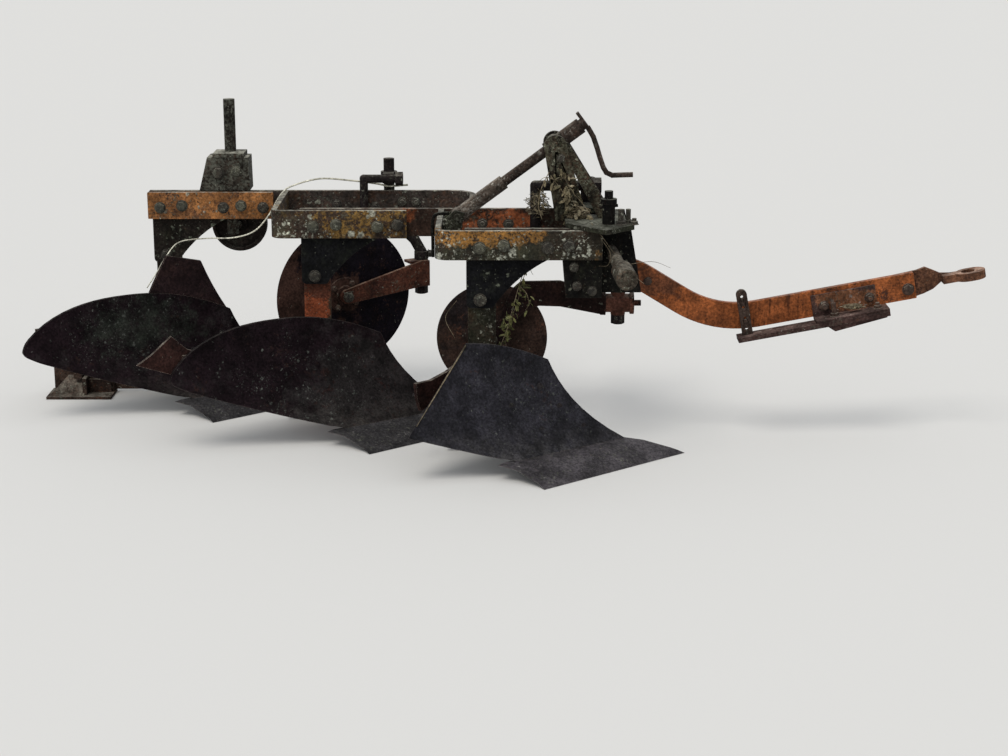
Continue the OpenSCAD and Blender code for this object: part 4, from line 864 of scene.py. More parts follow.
def smooth_path(points: list[Vector], steps: int = 6) -> list[Vector]:
    """Round a path off through its points.

    Args:
        points: the path's points.
        steps: new points for each span.

    Returns:
        The points of the rounded path.
    """
    line = [points[0] * 2 - points[1], *points, points[-1] * 2 - points[-2]]
    out = []
    for a, b, c, d in zip(line, line[1:], line[2:], line[3:]):
        for i in range(steps):
            u = i / steps
            out.append(0.5 * (2 * b + (c - a) * u + (2 * a - 5 * b + 4 * c - d) * u * u
                              + (3 * b - a - 3 * c + d) * u ** 3))
    return [*out, points[-1]]


class MeshMaker:
    """Collects faces of several simple solids and makes one object of them."""

    def __init__(self) -> None:
        """Start empty."""
        self.points: list[Vector] = []
        self.faces: list[tuple[int, ...]] = []

    def loft(self, rings: list[list[Vector]]) -> None:
        """Join rings of equally many points by quads and close both ends.

        Args:
            rings: the rings, in order.
        """
        count = len(rings[0])
        first = len(self.points)
        last = first + (len(rings) - 1) * count
        for ring in rings:
            self.points.extend(ring)
        for here in range(first, last, count):
            there = here + count
            for j in range(count):
                k = (j + 1) % count
                self.faces.append((here + j, here + k, there + k, there + j))
        self.faces.append(tuple(reversed(range(first, first + count))))
        self.faces.append(tuple(range(last, last + count)))

    def tube(self, path: list[Vector], radii: list[float], sides: int) -> None:
        """Sweep a circle along a path.

        Args:
            path: the points of the middle line, in metres.
            radii: the radius at each point, in metres.
            sides: how many sides the tube has.
        """
        rings = []
        side = (path[1] - path[0]).normalized().orthogonal().normalized()
        for i, point in enumerate(path):
            ahead = (path[min(i + 1, len(path) - 1)] - path[max(i - 1, 0)]).normalized()
            side = (side - ahead * side.dot(ahead)).normalized()
            rings.append(circle(point, side, ahead.cross(side), radii[i], sides))
        self.loft(rings)

    def lathe(self, start: Vector, ahead: Vector, profile: list[tuple[float, float]],
              sides: int) -> None:
        """Turn a profile about an axis.

        Args:
            start: where distance 0 lies on the axis.
            ahead: the unit vector of growing distance.
            profile: pairs of distance and radius, in metres.
            sides: how many sides the solid has.
        """
        side = ahead.orthogonal().normalized()
        other = ahead.cross(side)
        self.loft([circle(start + ahead * d, side, other, r, sides) for d, r in profile])

    def finish(self, name: str, material: bpy.types.Material, slot: Slot = Slot.DARK) -> None:
        """Make the object and let it ride on the frame.

        Args:
            name: the object's name.
            material: its finish.
            slot: the record's material slot; not used.
        """
        mesh = bpy.data.meshes.new(name)
        mesh.from_pydata([tuple(p) for p in self.points], [], self.faces)
        mesh.validate()
        mesh.update()
        ride_mesh(name, mesh, material, Body.FRAME, True)


def smoothing_group() -> bpy.types.NodeTree:
    """Build the group that shades a CAD mesh smooth and keeps its sharp edges.

    Returns:
        The geometry node group.
    """
    graph, take, give = shape_group("smooth by angle", {"Angle": (VALUE, SMOOTH_ANGLE)})
    plain_shape = graph.get("GeometryNodeRemoveAttribute", {"Geometry": take["Geometry"],
                                                            "Name": "custom_normal"})
    merged = graph.get("GeometryNodeMergeByDistance", {"Geometry": plain_shape,
                                                       "Distance": 0.00001})
    faces = graph.get("GeometryNodeSetShadeSmooth", {"Geometry": merged, "Shade Smooth": True},
                      domain="FACE")
    angle = graph.add("GeometryNodeInputMeshEdgeAngle").outputs["Unsigned Angle"]
    sharp = graph.get("FunctionNodeCompare", {0: angle, 1: take["Angle"]}, data_type="FLOAT",
                      operation="GREATER_THAN")
    graph.put(give["Geometry"], graph.get(
        "GeometryNodeSetShadeSmooth",
        {"Geometry": faces, "Selection": sharp, "Shade Smooth": False}, domain="EDGE"))
    return graph.tree


class Scatter:
    """Sets small shapes on points by a geometry node tree, which a subclass builds."""

    def __init__(self) -> None:
        """Build the tree."""
        self.tree = self._tree()

    @staticmethod
    def _spread(graph: Graph, take: dict, give: dict, shapes: dict) -> bpy.types.NodeTree:
        """End the tree: set the shapes on the points at their sizes, realized and painted.

        Args:
            graph: the tree's graph.
            take: its input sockets.
            give: its output sockets.
            shapes: the inputs of Instance on Points that say what is set and how it turns.

        Returns:
            The geometry node group.
        """
        size = graph.named("size", "FLOAT")
        placed = graph.get("GeometryNodeInstanceOnPoints", {
            "Points": take["Geometry"], "Scale": graph.xyz(size, size, size), **shapes})
        real = graph.get("GeometryNodeRealizeInstances", {0: placed})
        graph.put(give["Geometry"], graph.get("GeometryNodeSetMaterial", {
            "Geometry": real, "Material": take["Material"]}))
        return graph.tree

    def _bake(self, name: str, places: list[Vector], marks: tuple, material: bpy.types.Material,
              soft_edge: float = 0.0) -> bpy.types.Mesh:
        """Run the tree on points and turn the result into a plain mesh.

        Args:
            name: the new mesh's name.
            places: the points, in metres.
            marks: name, type, key and values of each attribute of the points.
            material: the finish.
            soft_edge: how wide the edges are rounded, in metres.

        Returns:
            The baked mesh.
        """
        points = bpy.data.meshes.new(name + "_points")
        points.from_pydata([tuple(place) for place in places], [], [])
        for label, kind, key, values in marks:
            points.attributes.new(label, kind, "POINT").data.foreach_set(key, values)
        holder = bpy.data.objects.new(name + "_holder", points)
        bpy.context.scene.collection.objects.link(holder)
        modifier = holder.modifiers.new("scatter", "NODES")
        modifier.node_group = self.tree
        sockets = {item.name: item.identifier for item in self.tree.interface.items_tree}
        modifier[sockets["Material"]] = material
        if soft_edge:
            bevel = holder.modifiers.new("soft edges", "BEVEL")
            bevel.width = soft_edge
            bevel.segments = 2
            bevel.limit_method = "ANGLE"
        bpy.context.view_layer.update()
        graph = bpy.context.evaluated_depsgraph_get()
        mesh = bpy.data.meshes.new_from_object(holder.evaluated_get(graph))
        mesh.name = name
        holder.modifiers.clear()
        bpy.data.objects.remove(holder)
        bpy.data.meshes.remove(points)
        return mesh


class FastenerKind(int, Enum):
    """Which fastener a point stands for."""

    HEAD = 0
    NUT = 1
    FLUSH = 2
    STUD = 3


@dataclass(frozen=True)
class Fastener:
    """A row of a fastener table: place, the way it looks and its size."""

    place: Point
    way: Point
    across: float
    kind: FastenerKind = FastenerKind.HEAD


class Fasteners(Scatter):
    """Bolt heads, nuts, studs and flush plough bolts."""

    @classmethod
    def _tree(cls) -> bpy.types.NodeTree:
        """Build the fastener tree: one of four shapes on each point, in head radii.

        Returns:
            The geometry node group.
        """
        graph, take, give = shape_group("fasteners", {
            "Head Height": (VALUE, 0.66), "Washer Radius": (VALUE, 1.16),
            "Stud Length": (VALUE, 0.75), "Seed": (WHOLE, SEED), "Material": (MATERIAL, None)})

        def lifted(body: Socket, height: Number) -> Socket:
            """Move a shape up."""
            return graph.get("GeometryNodeTransform", {"Geometry": body,
                                                       "Translation": graph.xyz(z=height)})

        def cylinder(sides: int, radius: Number, depth: Number, low: Number) -> Socket:
            """A cylinder that stands from a height.

            Args:
                sides: its sides.
                radius: its radius, in head radii.
                depth: its height.
                low: where it starts.

            Returns:
                Its geometry socket.
            """
            body = graph.get("GeometryNodeMeshCylinder", {"Vertices": sides, "Radius": radius,
                                                          "Depth": depth})
            return lifted(body, graph.plus(low, graph.times(depth, 0.5)))

        def cone(top_radius: float, depth: float, low: Number) -> Socket:
            """The chamfer on a six-sided head: a cone frustum that stands from a height.

            Args:
                top_radius: its radius at the top.
                depth: its height.
                low: where it starts.

            Returns:
                Its geometry socket.
            """
            return lifted(graph.get("GeometryNodeMeshCone", {
                "Vertices": 6, "Radius Top": top_radius, "Radius Bottom": 0.98,
                "Depth": depth}), low)

        def joined(parts: tuple[Socket, ...]) -> Socket:
            """Join shapes into one geometry.

            Args:
                parts: geometry sockets; the last one linked comes first.

            Returns:
                The joined geometry.
            """
            node = graph.add("GeometryNodeJoinGeometry")
            for part in parts:
                graph.put(node.inputs[0], part)
            return node.outputs[0]

        washer_top = 0.14
        top = graph.plus(take["Head Height"], washer_top)
        washer = cylinder(22, take["Washer Radius"], washer_top, 0.0)
        hexagon = cylinder(6, 1.0, take["Head Height"], washer_top)
        head = (washer, hexagon, cone(0.74, 0.1, top))
        nut = (washer, hexagon, cone(0.8, 0.08, top),
               cylinder(14, 0.56, take["Stud Length"], top))
        flush = (cylinder(22, 0.8, 0.05, 0.0), cylinder(4, 0.36, 0.03, 0.05))
        stud = (washer, hexagon, cylinder(14, 0.58, 2.4, top))
        choices = joined([graph.get("GeometryNodeGeometryToInstance", {0: joined(parts)})
                          for parts in (stud, flush, nut, head)])
        aim = graph.get("FunctionNodeAlignRotationToVector",
                        {"Vector": graph.named("way", "FLOAT_VECTOR")}, axis="Z")
        turn = graph.add("FunctionNodeRandomValue", {2: 0.0, 3: math.tau, "Seed": take["Seed"]},
                         data_type="FLOAT").outputs[1]
        spin = graph.get("FunctionNodeAxisAngleToRotation", {"Axis": (0.0, 0.0, 1.0),
                                                             "Angle": turn})
        rotation = graph.get("FunctionNodeRotateRotation", {0: aim, 1: spin},
                             rotation_space="LOCAL")
        return cls._spread(graph, take, give, {
            "Instance": choices, "Pick Instance": True, "Rotation": rotation,
            "Instance Index": graph.named("kind", "INT")})

    def place(self, name: str, rows: list[Fastener], material: bpy.types.Material,
              body: Body) -> None:
        """Set a table of fasteners on one body.

        Args:
            name: the object's name.
            rows: the fasteners.
            material: their finish.
            body: the CAD body that they ride on.
        """
        marks = (("way", "FLOAT_VECTOR", "vector", [c for r in rows for c in r.way]),
                 ("size", "FLOAT", "value", [r.across * MM / math.sqrt(3) for r in rows]),
                 ("kind", "INT", "value", [int(r.kind) for r in rows]))
        mesh = self._bake(name, [at(*r.place) for r in rows], marks, material, 0.0006)
        ride_mesh(name, mesh, material, body, False)


class Leaves(Scatter):
    """Bent leaves, turned at random."""

    @classmethod
    def _tree(cls) -> bpy.types.NodeTree:
        """Build the leaf tree: a flat bent blade on each point, one leaf long.

        Returns:
            The geometry node group.
        """
        graph, take, give = shape_group("leaves", {
            "Width": (VALUE, 0.42), "Thickness": (VALUE, 0.06), "Curl": (VALUE, 0.6),
            "Seed": (WHOLE, SEED), "Material": (MATERIAL, None)})
        ball = graph.get("GeometryNodeMeshUVSphere", {"Segments": 8, "Rings": 6, "Radius": 0.5})
        blade = graph.get("GeometryNodeTransform", {
            "Geometry": ball, "Translation": (0.5, 0.0, 0.0),
            "Scale": graph.xyz(1.0, take["Width"], take["Thickness"])})
        along = graph.get("ShaderNodeSeparateXYZ", {0: graph.get("GeometryNodeInputPosition")})
        drop = graph.times(graph.times(along, along), graph.times(take["Curl"], -1.0))
        bent = graph.get("GeometryNodeSetPosition", {"Geometry": blade,
                                                     "Offset": graph.xyz(z=drop)})
        turn = graph.get("FunctionNodeRandomValue", {
            0: (-1.2, -0.6, 0.0), 1: (1.2, 1.5, math.tau), "Seed": take["Seed"]},
            data_type="FLOAT_VECTOR")
        return cls._spread(graph, take, give, {"Instance": bent, "Rotation": turn})

    def place(self, name: str, rows: list[tuple[Vector, float]],
              material: bpy.types.Material) -> None:
        """Set leaves on the frame body.

        Args:
            name: the object's name.
            rows: the place and the length of each leaf, in metres.
            material: their finish.
        """
        marks = (("size", "FLOAT", "value", [size for _, size in rows]),)
        mesh = self._bake(name, [spot for spot, _ in rows], marks, material)
        ride_mesh(name, mesh, material, Body.FRAME, True)


# Sub-assemblies


@dataclass(frozen=True)
class Dressing:
    """The finish and slot of some CAD nodes, and how wide their edges are rounded."""

    finish: str
    slot: Slot
    edge: float = 1.6
    nodes: str = ""


CAD_LOOKS = (
    Dressing("front_bar", Slot.ORANGE, 2.2, "beam_front_near"),
    Dressing("far_bar", Slot.ORANGE, 2.2, "beam_front_far"),
    Dressing("mid_bar", Slot.ORANGE, 2.2, "beam_mid_near"),
    Dressing("far_bar_mid", Slot.RED, 2.2, "beam_mid_far"),
    Dressing("rear_bar", Slot.ORANGE, 2.2, "beam_rear_near"),
    Dressing("far_bar", Slot.RED, 2.2, "beam_rear_far"),
    Dressing("leg", Slot.DARK, nodes="shank_front shank_mid"),
    Dressing("leg_rear", Slot.DARK, nodes="shank_rear"),
    Dressing("frog_dark", Slot.RED, nodes="frog_front frog_rear"),
    Dressing("frog", Slot.RED, nodes="frog_mid"),
    Dressing("board_front", Slot.SOIL, 2.0, "moldboard_front"),
    Dressing("board", Slot.SOIL, 2.0, "moldboard_mid moldboard_rear"),
    Dressing("share_front", Slot.SOIL, 1.0, "share_front"),
    Dressing("share", Slot.SOIL, 1.0, "share_mid share_rear"),
    Dressing("trash", Slot.RUSTED, 1.0, "trash_board"),
    Dressing("maroon", Slot.RUSTED, nodes="stay_front stay_mid stay_rear"),
    Dressing("rust", Slot.RUSTED, nodes="heel_shoe landside_front landside_mid landside_rear"),
    Dressing("bracket", Slot.DARK, nodes="wheel_bracket wheel_spindle"),
    Dressing("wheel", Slot.DARK, nodes="depth_wheel"),
    Dressing("mast", Slot.DARK, nodes="mast_near mast_far mast_braces"),
    Dressing("mast", Slot.RUSTED, nodes="trunnion"),
    Dressing("plate", Slot.DARK, nodes="tube_bracket headstock_top"),
    Dressing("clamp", Slot.DARK, nodes="coulter_clamps coulter_stem_mid coulter_stem_rear"),
    Dressing("tube", Slot.RUSTED, nodes="adjusting_tube"),
    Dressing("rod", Slot.BRIGHT, nodes="adjusting_rod"),
    Dressing("rod", Slot.RUSTED, 0.8, "crank_handle"),
    Dressing("arm_dark", Slot.RUSTED, nodes="coulter_arm_mid"),
    Dressing("arm", Slot.RUSTED, nodes="coulter_arm_rear"),
    Dressing("disc_mid", Slot.RUSTED, 0.6, "coulter_disc_mid"),
    Dressing("disc", Slot.RUSTED, 0.6, "coulter_disc_rear"),
    Dressing("drawbar", Slot.ORANGE, 2.2, "drawbar"),
    Dressing("end", Slot.RUSTED, 2.2, "towing_eye"),
    Dressing("long_bar", Slot.RUSTED, nodes="drawbar_angle"),
    Dressing("strap", Slot.RUSTED, nodes="drawbar_strap"),
    Dressing("sleeve", Slot.DARK, nodes="link_pin_near link_pin_far"),
)
OTHER_LOOK = Dressing("dark", Slot.DARK)


def dress_cad(nodes: dict, paints: Paintbox) -> None:
    """Give every CAD node its finish, smooth shading and rounded edges.

    Args:
        paints: the finishes.
    """
    smoothing = smoothing_group()
    looks = {node: look for look in CAD_LOOKS for node in look.nodes.split()}
    for name, thing in nodes.items():
        look = looks.get(name, OTHER_LOOK)
        thing.data.materials.clear()
        thing.data.materials.append(paints.get(look.finish))
        thing.modifiers.new("smooth", "NODES").node_group = smoothing
        bevel = thing.modifiers.new("soft edges", "BEVEL")
        bevel.width = look.edge * MM
        bevel.segments = 2
        bevel.limit_method = "ANGLE"
        bevel.angle_limit = BEVEL_ANGLE
        bevel.harden_normals = True


@dataclass
class Assembly:
    """A sub-assembly with what it needs at hand to dress itself."""

    fasteners: Fasteners
    paints: Paintbox

    def bolt(self, name: str, rows: list[Fastener], finish: str,
             body: Body = Body.FRAME) -> None:
        """Set a table of fasteners of one finish on one body."""
        self.fasteners.place(name, rows, self.paints.get(finish), body)


@dataclass
class FrameBars(Assembly):
    """Bolts through the three pairs of bars, and the hook at the front bar's end."""

    bolt_z: float = 611.0
    uneven: float = 3.0
    far_face: float = 54.0
    across: float = 27.0
    rows: tuple = ((38, 107, 230, 290), (38, 107, 230, 290), (28, 97, 226, 282, 351))
    mossy: tuple = ((0, 0), (0, 1), (1, 0), (1, 1), (1, 2), (2, 0), (2, 1), (2, 3))
    far_bars: tuple = ((-60, 366, 606), (42, 366, 612), (120, 366, 610), (-170, 696, 620),
                       (-214, 696, 622), (-300, 696, 606), (-420, 696, 612))
    far_across: float = 24.0
    hook: tuple = ((-97, 112, 560), (-97, 112, 612), (-97, 112, 662), (-91, 112, 680),
                   (-76, 112, 686), (-50, 112, 687))
    hook_r: float = 5.0

    def dress(self) -> None:
        """Set the bolt heads and nuts and make the hook."""
        table, mossy = [], []
        for body, row in enumerate(self.rows):
            for i, place in enumerate(row):
                x, y = place - body * BODY_PITCH, body * FURROW
                z = self.bolt_z + (self.uneven if i % 2 else -self.uneven)
                rows = mossy if (body, i) in self.mossy else table
                rows.append(Fastener((x, y, z), NEAR, self.across))
                table.append(Fastener((x, y + self.far_face, z), FAR, self.across,
                                      FastenerKind.NUT))
        table += [Fastener(place, NEAR, self.far_across, FastenerKind.NUT)
                  for place in self.far_bars]
        self.bolt("bar_bolts", table, "bolt")
        self.bolt("mossy_bolts", mossy, "bolt_pale")
        maker = MeshMaker()
        line = smooth_path([at(*point) for point in self.hook], 4)
        maker.tube(line, [self.hook_r * MM] * len(line), 12)
        maker.finish("end_hook", self.paints.get("dark"))


@dataclass(frozen=True)
class WorkingFace:
    """The face of a plough bottom: level straight lines from the shin to the tail."""

    tip_x: float = 632.0
    shin_y: float = 20.0
    shin_back: float = 462.5
    shin_sweep: float = 386.0
    shin_fall: float = 156.0
    share_angle: float = 40.0
    top_angle: float = 30.0
    angle_fall: float = 90.0
    broken_at: Point = (1.0, -98.0, 357.0)
    broken_normal: Point = (-0.854, 0.107, 0.508)

    def angle(self, z: float) -> float:
        """How far the line at a height is turned from the line of travel, in radians."""
        return math.radians(self.top_angle + (self.share_angle - self.top_angle)
                            * math.exp(-z / self.angle_fall))

    def shin(self, z: float) -> float:
        """Where the line at a height starts: its x on the front bottom."""
        return self.tip_x - self.shin_back + self.shin_sweep * math.exp(-z / self.shin_fall)

    def point(self, body: int, z: float, t: float, out: float) -> Point:
        """A point on a bottom's working face.

        Args:
            body: 0, 1 or 2.
            z: height.
            t: distance from the shin.
            out: how far it is moved out of the face, level.

        Returns:
            The point in the corner frame.
        """
        turn = self.angle(z)
        x = self.shin(z) - t * math.cos(turn) + out * math.sin(turn)
        y = self.shin_y - t * math.sin(turn) - out * math.cos(turn)
        return (x - body * BODY_PITCH, y + body * FURROW, z)

    def broken_t(self, z: float) -> float:
        """Where the front board's broken edge crosses the line at a height.

        Args:
            z: height.

        Returns:
            The distance from the shin.
        """
        nx, ny, nz = self.broken_normal
        level = sum(n * p for n, p in zip(self.broken_normal, self.broken_at))
        turn = self.angle(z)
        return ((nx * self.shin(z) + ny * self.shin_y + nz * z - level)
                / (nx * math.cos(turn) + ny * math.sin(turn)))


@dataclass
class Bottoms(Assembly):
    """Bolts of shanks, landsides and boards of the three bottoms."""

    face: WorkingFace = WorkingFace()
    shank_bolt: tuple[float, float] = (39.0, 454.0)
    shank_faces: tuple[float, float] = (18.0, 50.0)
    shank_across: float = 28.0
    landside: tuple = ((60, 70), (200, 66), (-60, 70))
    landside_face: float = 54.0
    landside_across: float = 22.0
    board: tuple = ((90, 60), (150, 60), (210, 70), (100, 190), (170, 200))
    board_across: float = 20.0
    board_out: float = 0.2
    board_lean: float = 0.35

    def dress(self) -> None:
        """Set the bolts."""
        legs, boards = [], []
        near_face, far_face = self.shank_faces
        for body in range(3):
            dx, dy = -body * BODY_PITCH, body * FURROW
            x, z = self.shank_bolt
            legs += [Fastener((x + dx, near_face + dy, z), NEAR, self.shank_across),
                     Fastener((x + dx, far_face + dy, z), FAR, self.shank_across,
                              FastenerKind.NUT)]
            legs += [Fastener((sx + dx, self.landside_face + dy, sz), FAR,
                              self.landside_across, FastenerKind.FLUSH)
                     for sx, sz in self.landside]
            for z, t in self.board:
                turn = self.face.angle(z)
                boards.append(Fastener(self.face.point(body, z, t, self.board_out),
                                       (math.sin(turn), -math.cos(turn), self.board_lean),
                                       self.board_across, FastenerKind.FLUSH))
        self.bolt("bottom_bolts", legs, "bolt")
        self.bolt("plough_bolts", boards, "bolt_board")


@dataclass
class Headstock(Assembly):
    """Bolts of headstock, hanger plate, mast and wheel bracket, and two pins' ends."""

    hanger: tuple = ((305, 549), (314, 494), (357, 480))
    hanger_face: float = 18.0
    hanger_across: float = 21.0
    plate_top: float = 670.3
    on_plate: tuple = ((436, 22, 24, FastenerKind.STUD), (458, 46, 22, FastenerKind.STUD),
                       (474, 26, 20, FastenerKind.NUT), (300, 340, 24, FastenerKind.NUT),
                       (318, 400, 24, FastenerKind.NUT))
    single: tuple[Fastener, ...] = (
        Fastener((270, 158, 838), NEAR, 18), Fastener((-790, 686.5, 715), NEAR, 30),
        Fastener((-136, 742, 446), AHEAD, 22))
    bracket: Fastener = Fastener((-734, 686.5, 718), NEAR, 27)
    handle: tuple[Point, Point] = ((376.0, 36.0, 717.0), (428.0, 36.0, 723.0))
    handle_r: float = 4.5
    link_end: Point = (442.0, -199.0, 559.0)
    link_way: Point = (30.0, -254.0, -29.0)
    link_rings: tuple = ((0.0, 30.5), (4.0, 30.5), (5.0, 29.0), (5.0, 22.0), (2.5, 20.5),
                         (2.5, 12.0), (6.0, 11.0), (6.0, 5.0))

    def dress(self) -> None:
        """Set the bolts, and make the upright pin's handle and the near link pin's end."""
        table = [Fastener((x, self.hanger_face, z), NEAR, self.hanger_across)
                 for x, z in self.hanger]
        table += [Fastener((x, y, self.plate_top), UP, across, kind)
                  for x, y, across, kind in self.on_plate]
        self.bolt("headstock_bolts", [*table, *self.single], "bolt")
        self.bolt("bracket_bolt", [self.bracket], "bolt_pale")
        handle = MeshMaker()
        handle.tube([at(*point) for point in self.handle], [self.handle_r * MM] * 2, 12)
        handle.finish("pin_handle", self.paints.get("dark"))
        rings = MeshMaker()
        rings.lathe(at(*self.link_end), Vector(self.link_way).normalized(),
                    [(d * MM, r * MM) for d, r in self.link_rings], 28)
        rings.finish("link_pin_end", self.paints.get("sleeve"))


@dataclass
class Drawbar(Assembly):
    """Bolts of the drawbar and of what is fixed to it."""

    slope: float = 10.6
    level: tuple[Fastener, ...] = (
        Fastener((528, 200, 470), NEAR, 19), Fastener((1292, 200, 446), NEAR, 27),
        Fastener((1046, 191.7, 398), NEAR, 23, FastenerKind.NUT),
        Fastener((1178, 191.7, 424), NEAR, 22, FastenerKind.NUT))
    upright: tuple = (((1075, 165, 373.5), 22, FastenerKind.STUD),
                      ((1200, 165, 397), 20, FastenerKind.NUT))
    behind: tuple[Fastener, ...] = (
        Fastener((1292, 232.7, 446), FAR, 27, FastenerKind.NUT),
        Fastener((1046, 220, 398), FAR, 24), Fastener((1178, 220, 424), FAR, 24))

    def dress(self) -> None:
        """Set the bolts; the upright ones stand square to the sloping bar."""
        tilt = math.radians(self.slope)
        up = (-math.sin(tilt), 0, math.cos(tilt))
        upright = [Fastener(place, up, across, kind) for place, across, kind in self.upright]
        self.bolt("drawbar_bolts", [*self.level, *upright, *self.behind], "bolt_rust")


@dataclass(frozen=True)
class Coulter:
    """How one coulter hangs from its swivel."""

    swivel: tuple[float, float]
    yaw: float
    arm: float
    hub_z: float
    arm_body: Body
    disc_body: Body

    def turned(self, way: Point) -> Vector:
        """Turn a direction with the arm."""
        return Matrix.Rotation(math.radians(self.yaw), 3, "Z") @ Vector(way)

    def by_hub(self, ahead: float, left: float, up: float) -> Point:
        """Find the point that is so far ahead, to the left and above the disc's hub."""
        moved = self.turned((ahead - self.arm, left, 0.0))
        return (self.swivel[0] + moved.x, self.swivel[1] + moved.y, self.hub_z + up)


@dataclass
class Coulters(Assembly):
    """Hub bolts of both coulters, and the ring of bolts on each disc."""

    coulters: tuple[Coulter, ...] = (
        Coulter((-158.0, 742.0), 28.0, 271.0, 338.0, Body.COULTER_REAR, Body.DISC_REAR),
        Coulter((454.0, 412.0), 0.0, 384.0, 250.0, Body.COULTER_MID, Body.DISC_MID))
    arm_face: float = -36.5
    hub_across: float = 26.0
    ring_face: float = -8.0
    ring_r: float = 44.0
    ring_bolts: int = 4
    ring_turn: float = 0.62
    ring_across: float = 15.0

    def dress(self) -> None:
        """Set the bolts."""
        turns = [math.tau * (i + self.ring_turn) / self.ring_bolts
                 for i in range(self.ring_bolts)]
        for coulter in self.coulters:
            near = tuple(coulter.turned(NEAR))
            hub = Fastener(coulter.by_hub(0.0, self.arm_face, 0.0), near, self.hub_across)
            self.bolt(coulter.arm_body.value + "_bolts", [hub], "bolt", coulter.arm_body)
            ring = [Fastener(coulter.by_hub(self.ring_r * math.cos(a), self.ring_face,
                                            self.ring_r * math.sin(a)), near,
                             self.ring_across) for a in turns]
            self.bolt(coulter.disc_body.value + "_bolts", ring, "bolt_rust",
                      coulter.disc_body)


@dataclass(frozen=True)
class Vine:
    """A stem with leaves along it."""

    path: tuple[Point, ...]
    radius: float
    leaves: int = 0
    leaf_size: float = 18.0
    spread: float = 10.0

    def grow(self, maker: MeshMaker) -> list[Vector]:
        """Add the stem, which thins to half along its way.

        Args:
            maker: the mesh that it goes into.

        Returns:
            The points along it.
        """
        line = smooth_path([at(*point) for point in self.path])
        last = len(line) - 1
        maker.tube(line, [self.radius * MM * (1 - 0.5 * i / last) for i in range(last + 1)], 7)
        return line


@dataclass(frozen=True)
class Tangle:
    """A ball of short bent stems and small leaves."""

    centre: Point
    reach: Point
    stems: int
    leaves: int
    length: float = 90.0
    leaf_size: float = 15.0
    thin: float = 0.6
    thick: float = 1.1

    def inside(self, dice: random.Random) -> Vector:
        """Find a random point in the ball.

        Args:
            dice: the random numbers.

        Returns:
            The point in the row frame.
        """
        away = Vector([dice.gauss(0, 1) for _ in range(3)]).normalized()
        away *= dice.random() ** 0.4
        return at(*(c + r * a for c, r, a in zip(self.centre, self.reach, away)))

    def grow(self, maker: MeshMaker, dice: random.Random) -> list[tuple[Vector, float]]:
        """Add the stems.

        Args:
            maker: the mesh that they go into.
            dice: the random numbers.

        Returns:
            The place and length of each leaf.
        """
        for _ in range(self.stems):
            points = sorted((self.inside(dice) for _ in range(4)), key=lambda p: p.z)
            middle = sum(points, Vector()) / 4
            far = max((p - middle).length for p in points)
            fit = min(1.0, self.length * MM / 2 / far)
            line = smooth_path([middle + (p - middle) * fit for p in points], 4)
            radius = dice.uniform(self.thin, self.thick) * MM
            maker.tube(line, [radius] * len(line), 5)
        return [(self.inside(dice), self.leaf_size * MM * dice.uniform(0.5, 1.3))
                for _ in range(self.leaves)]


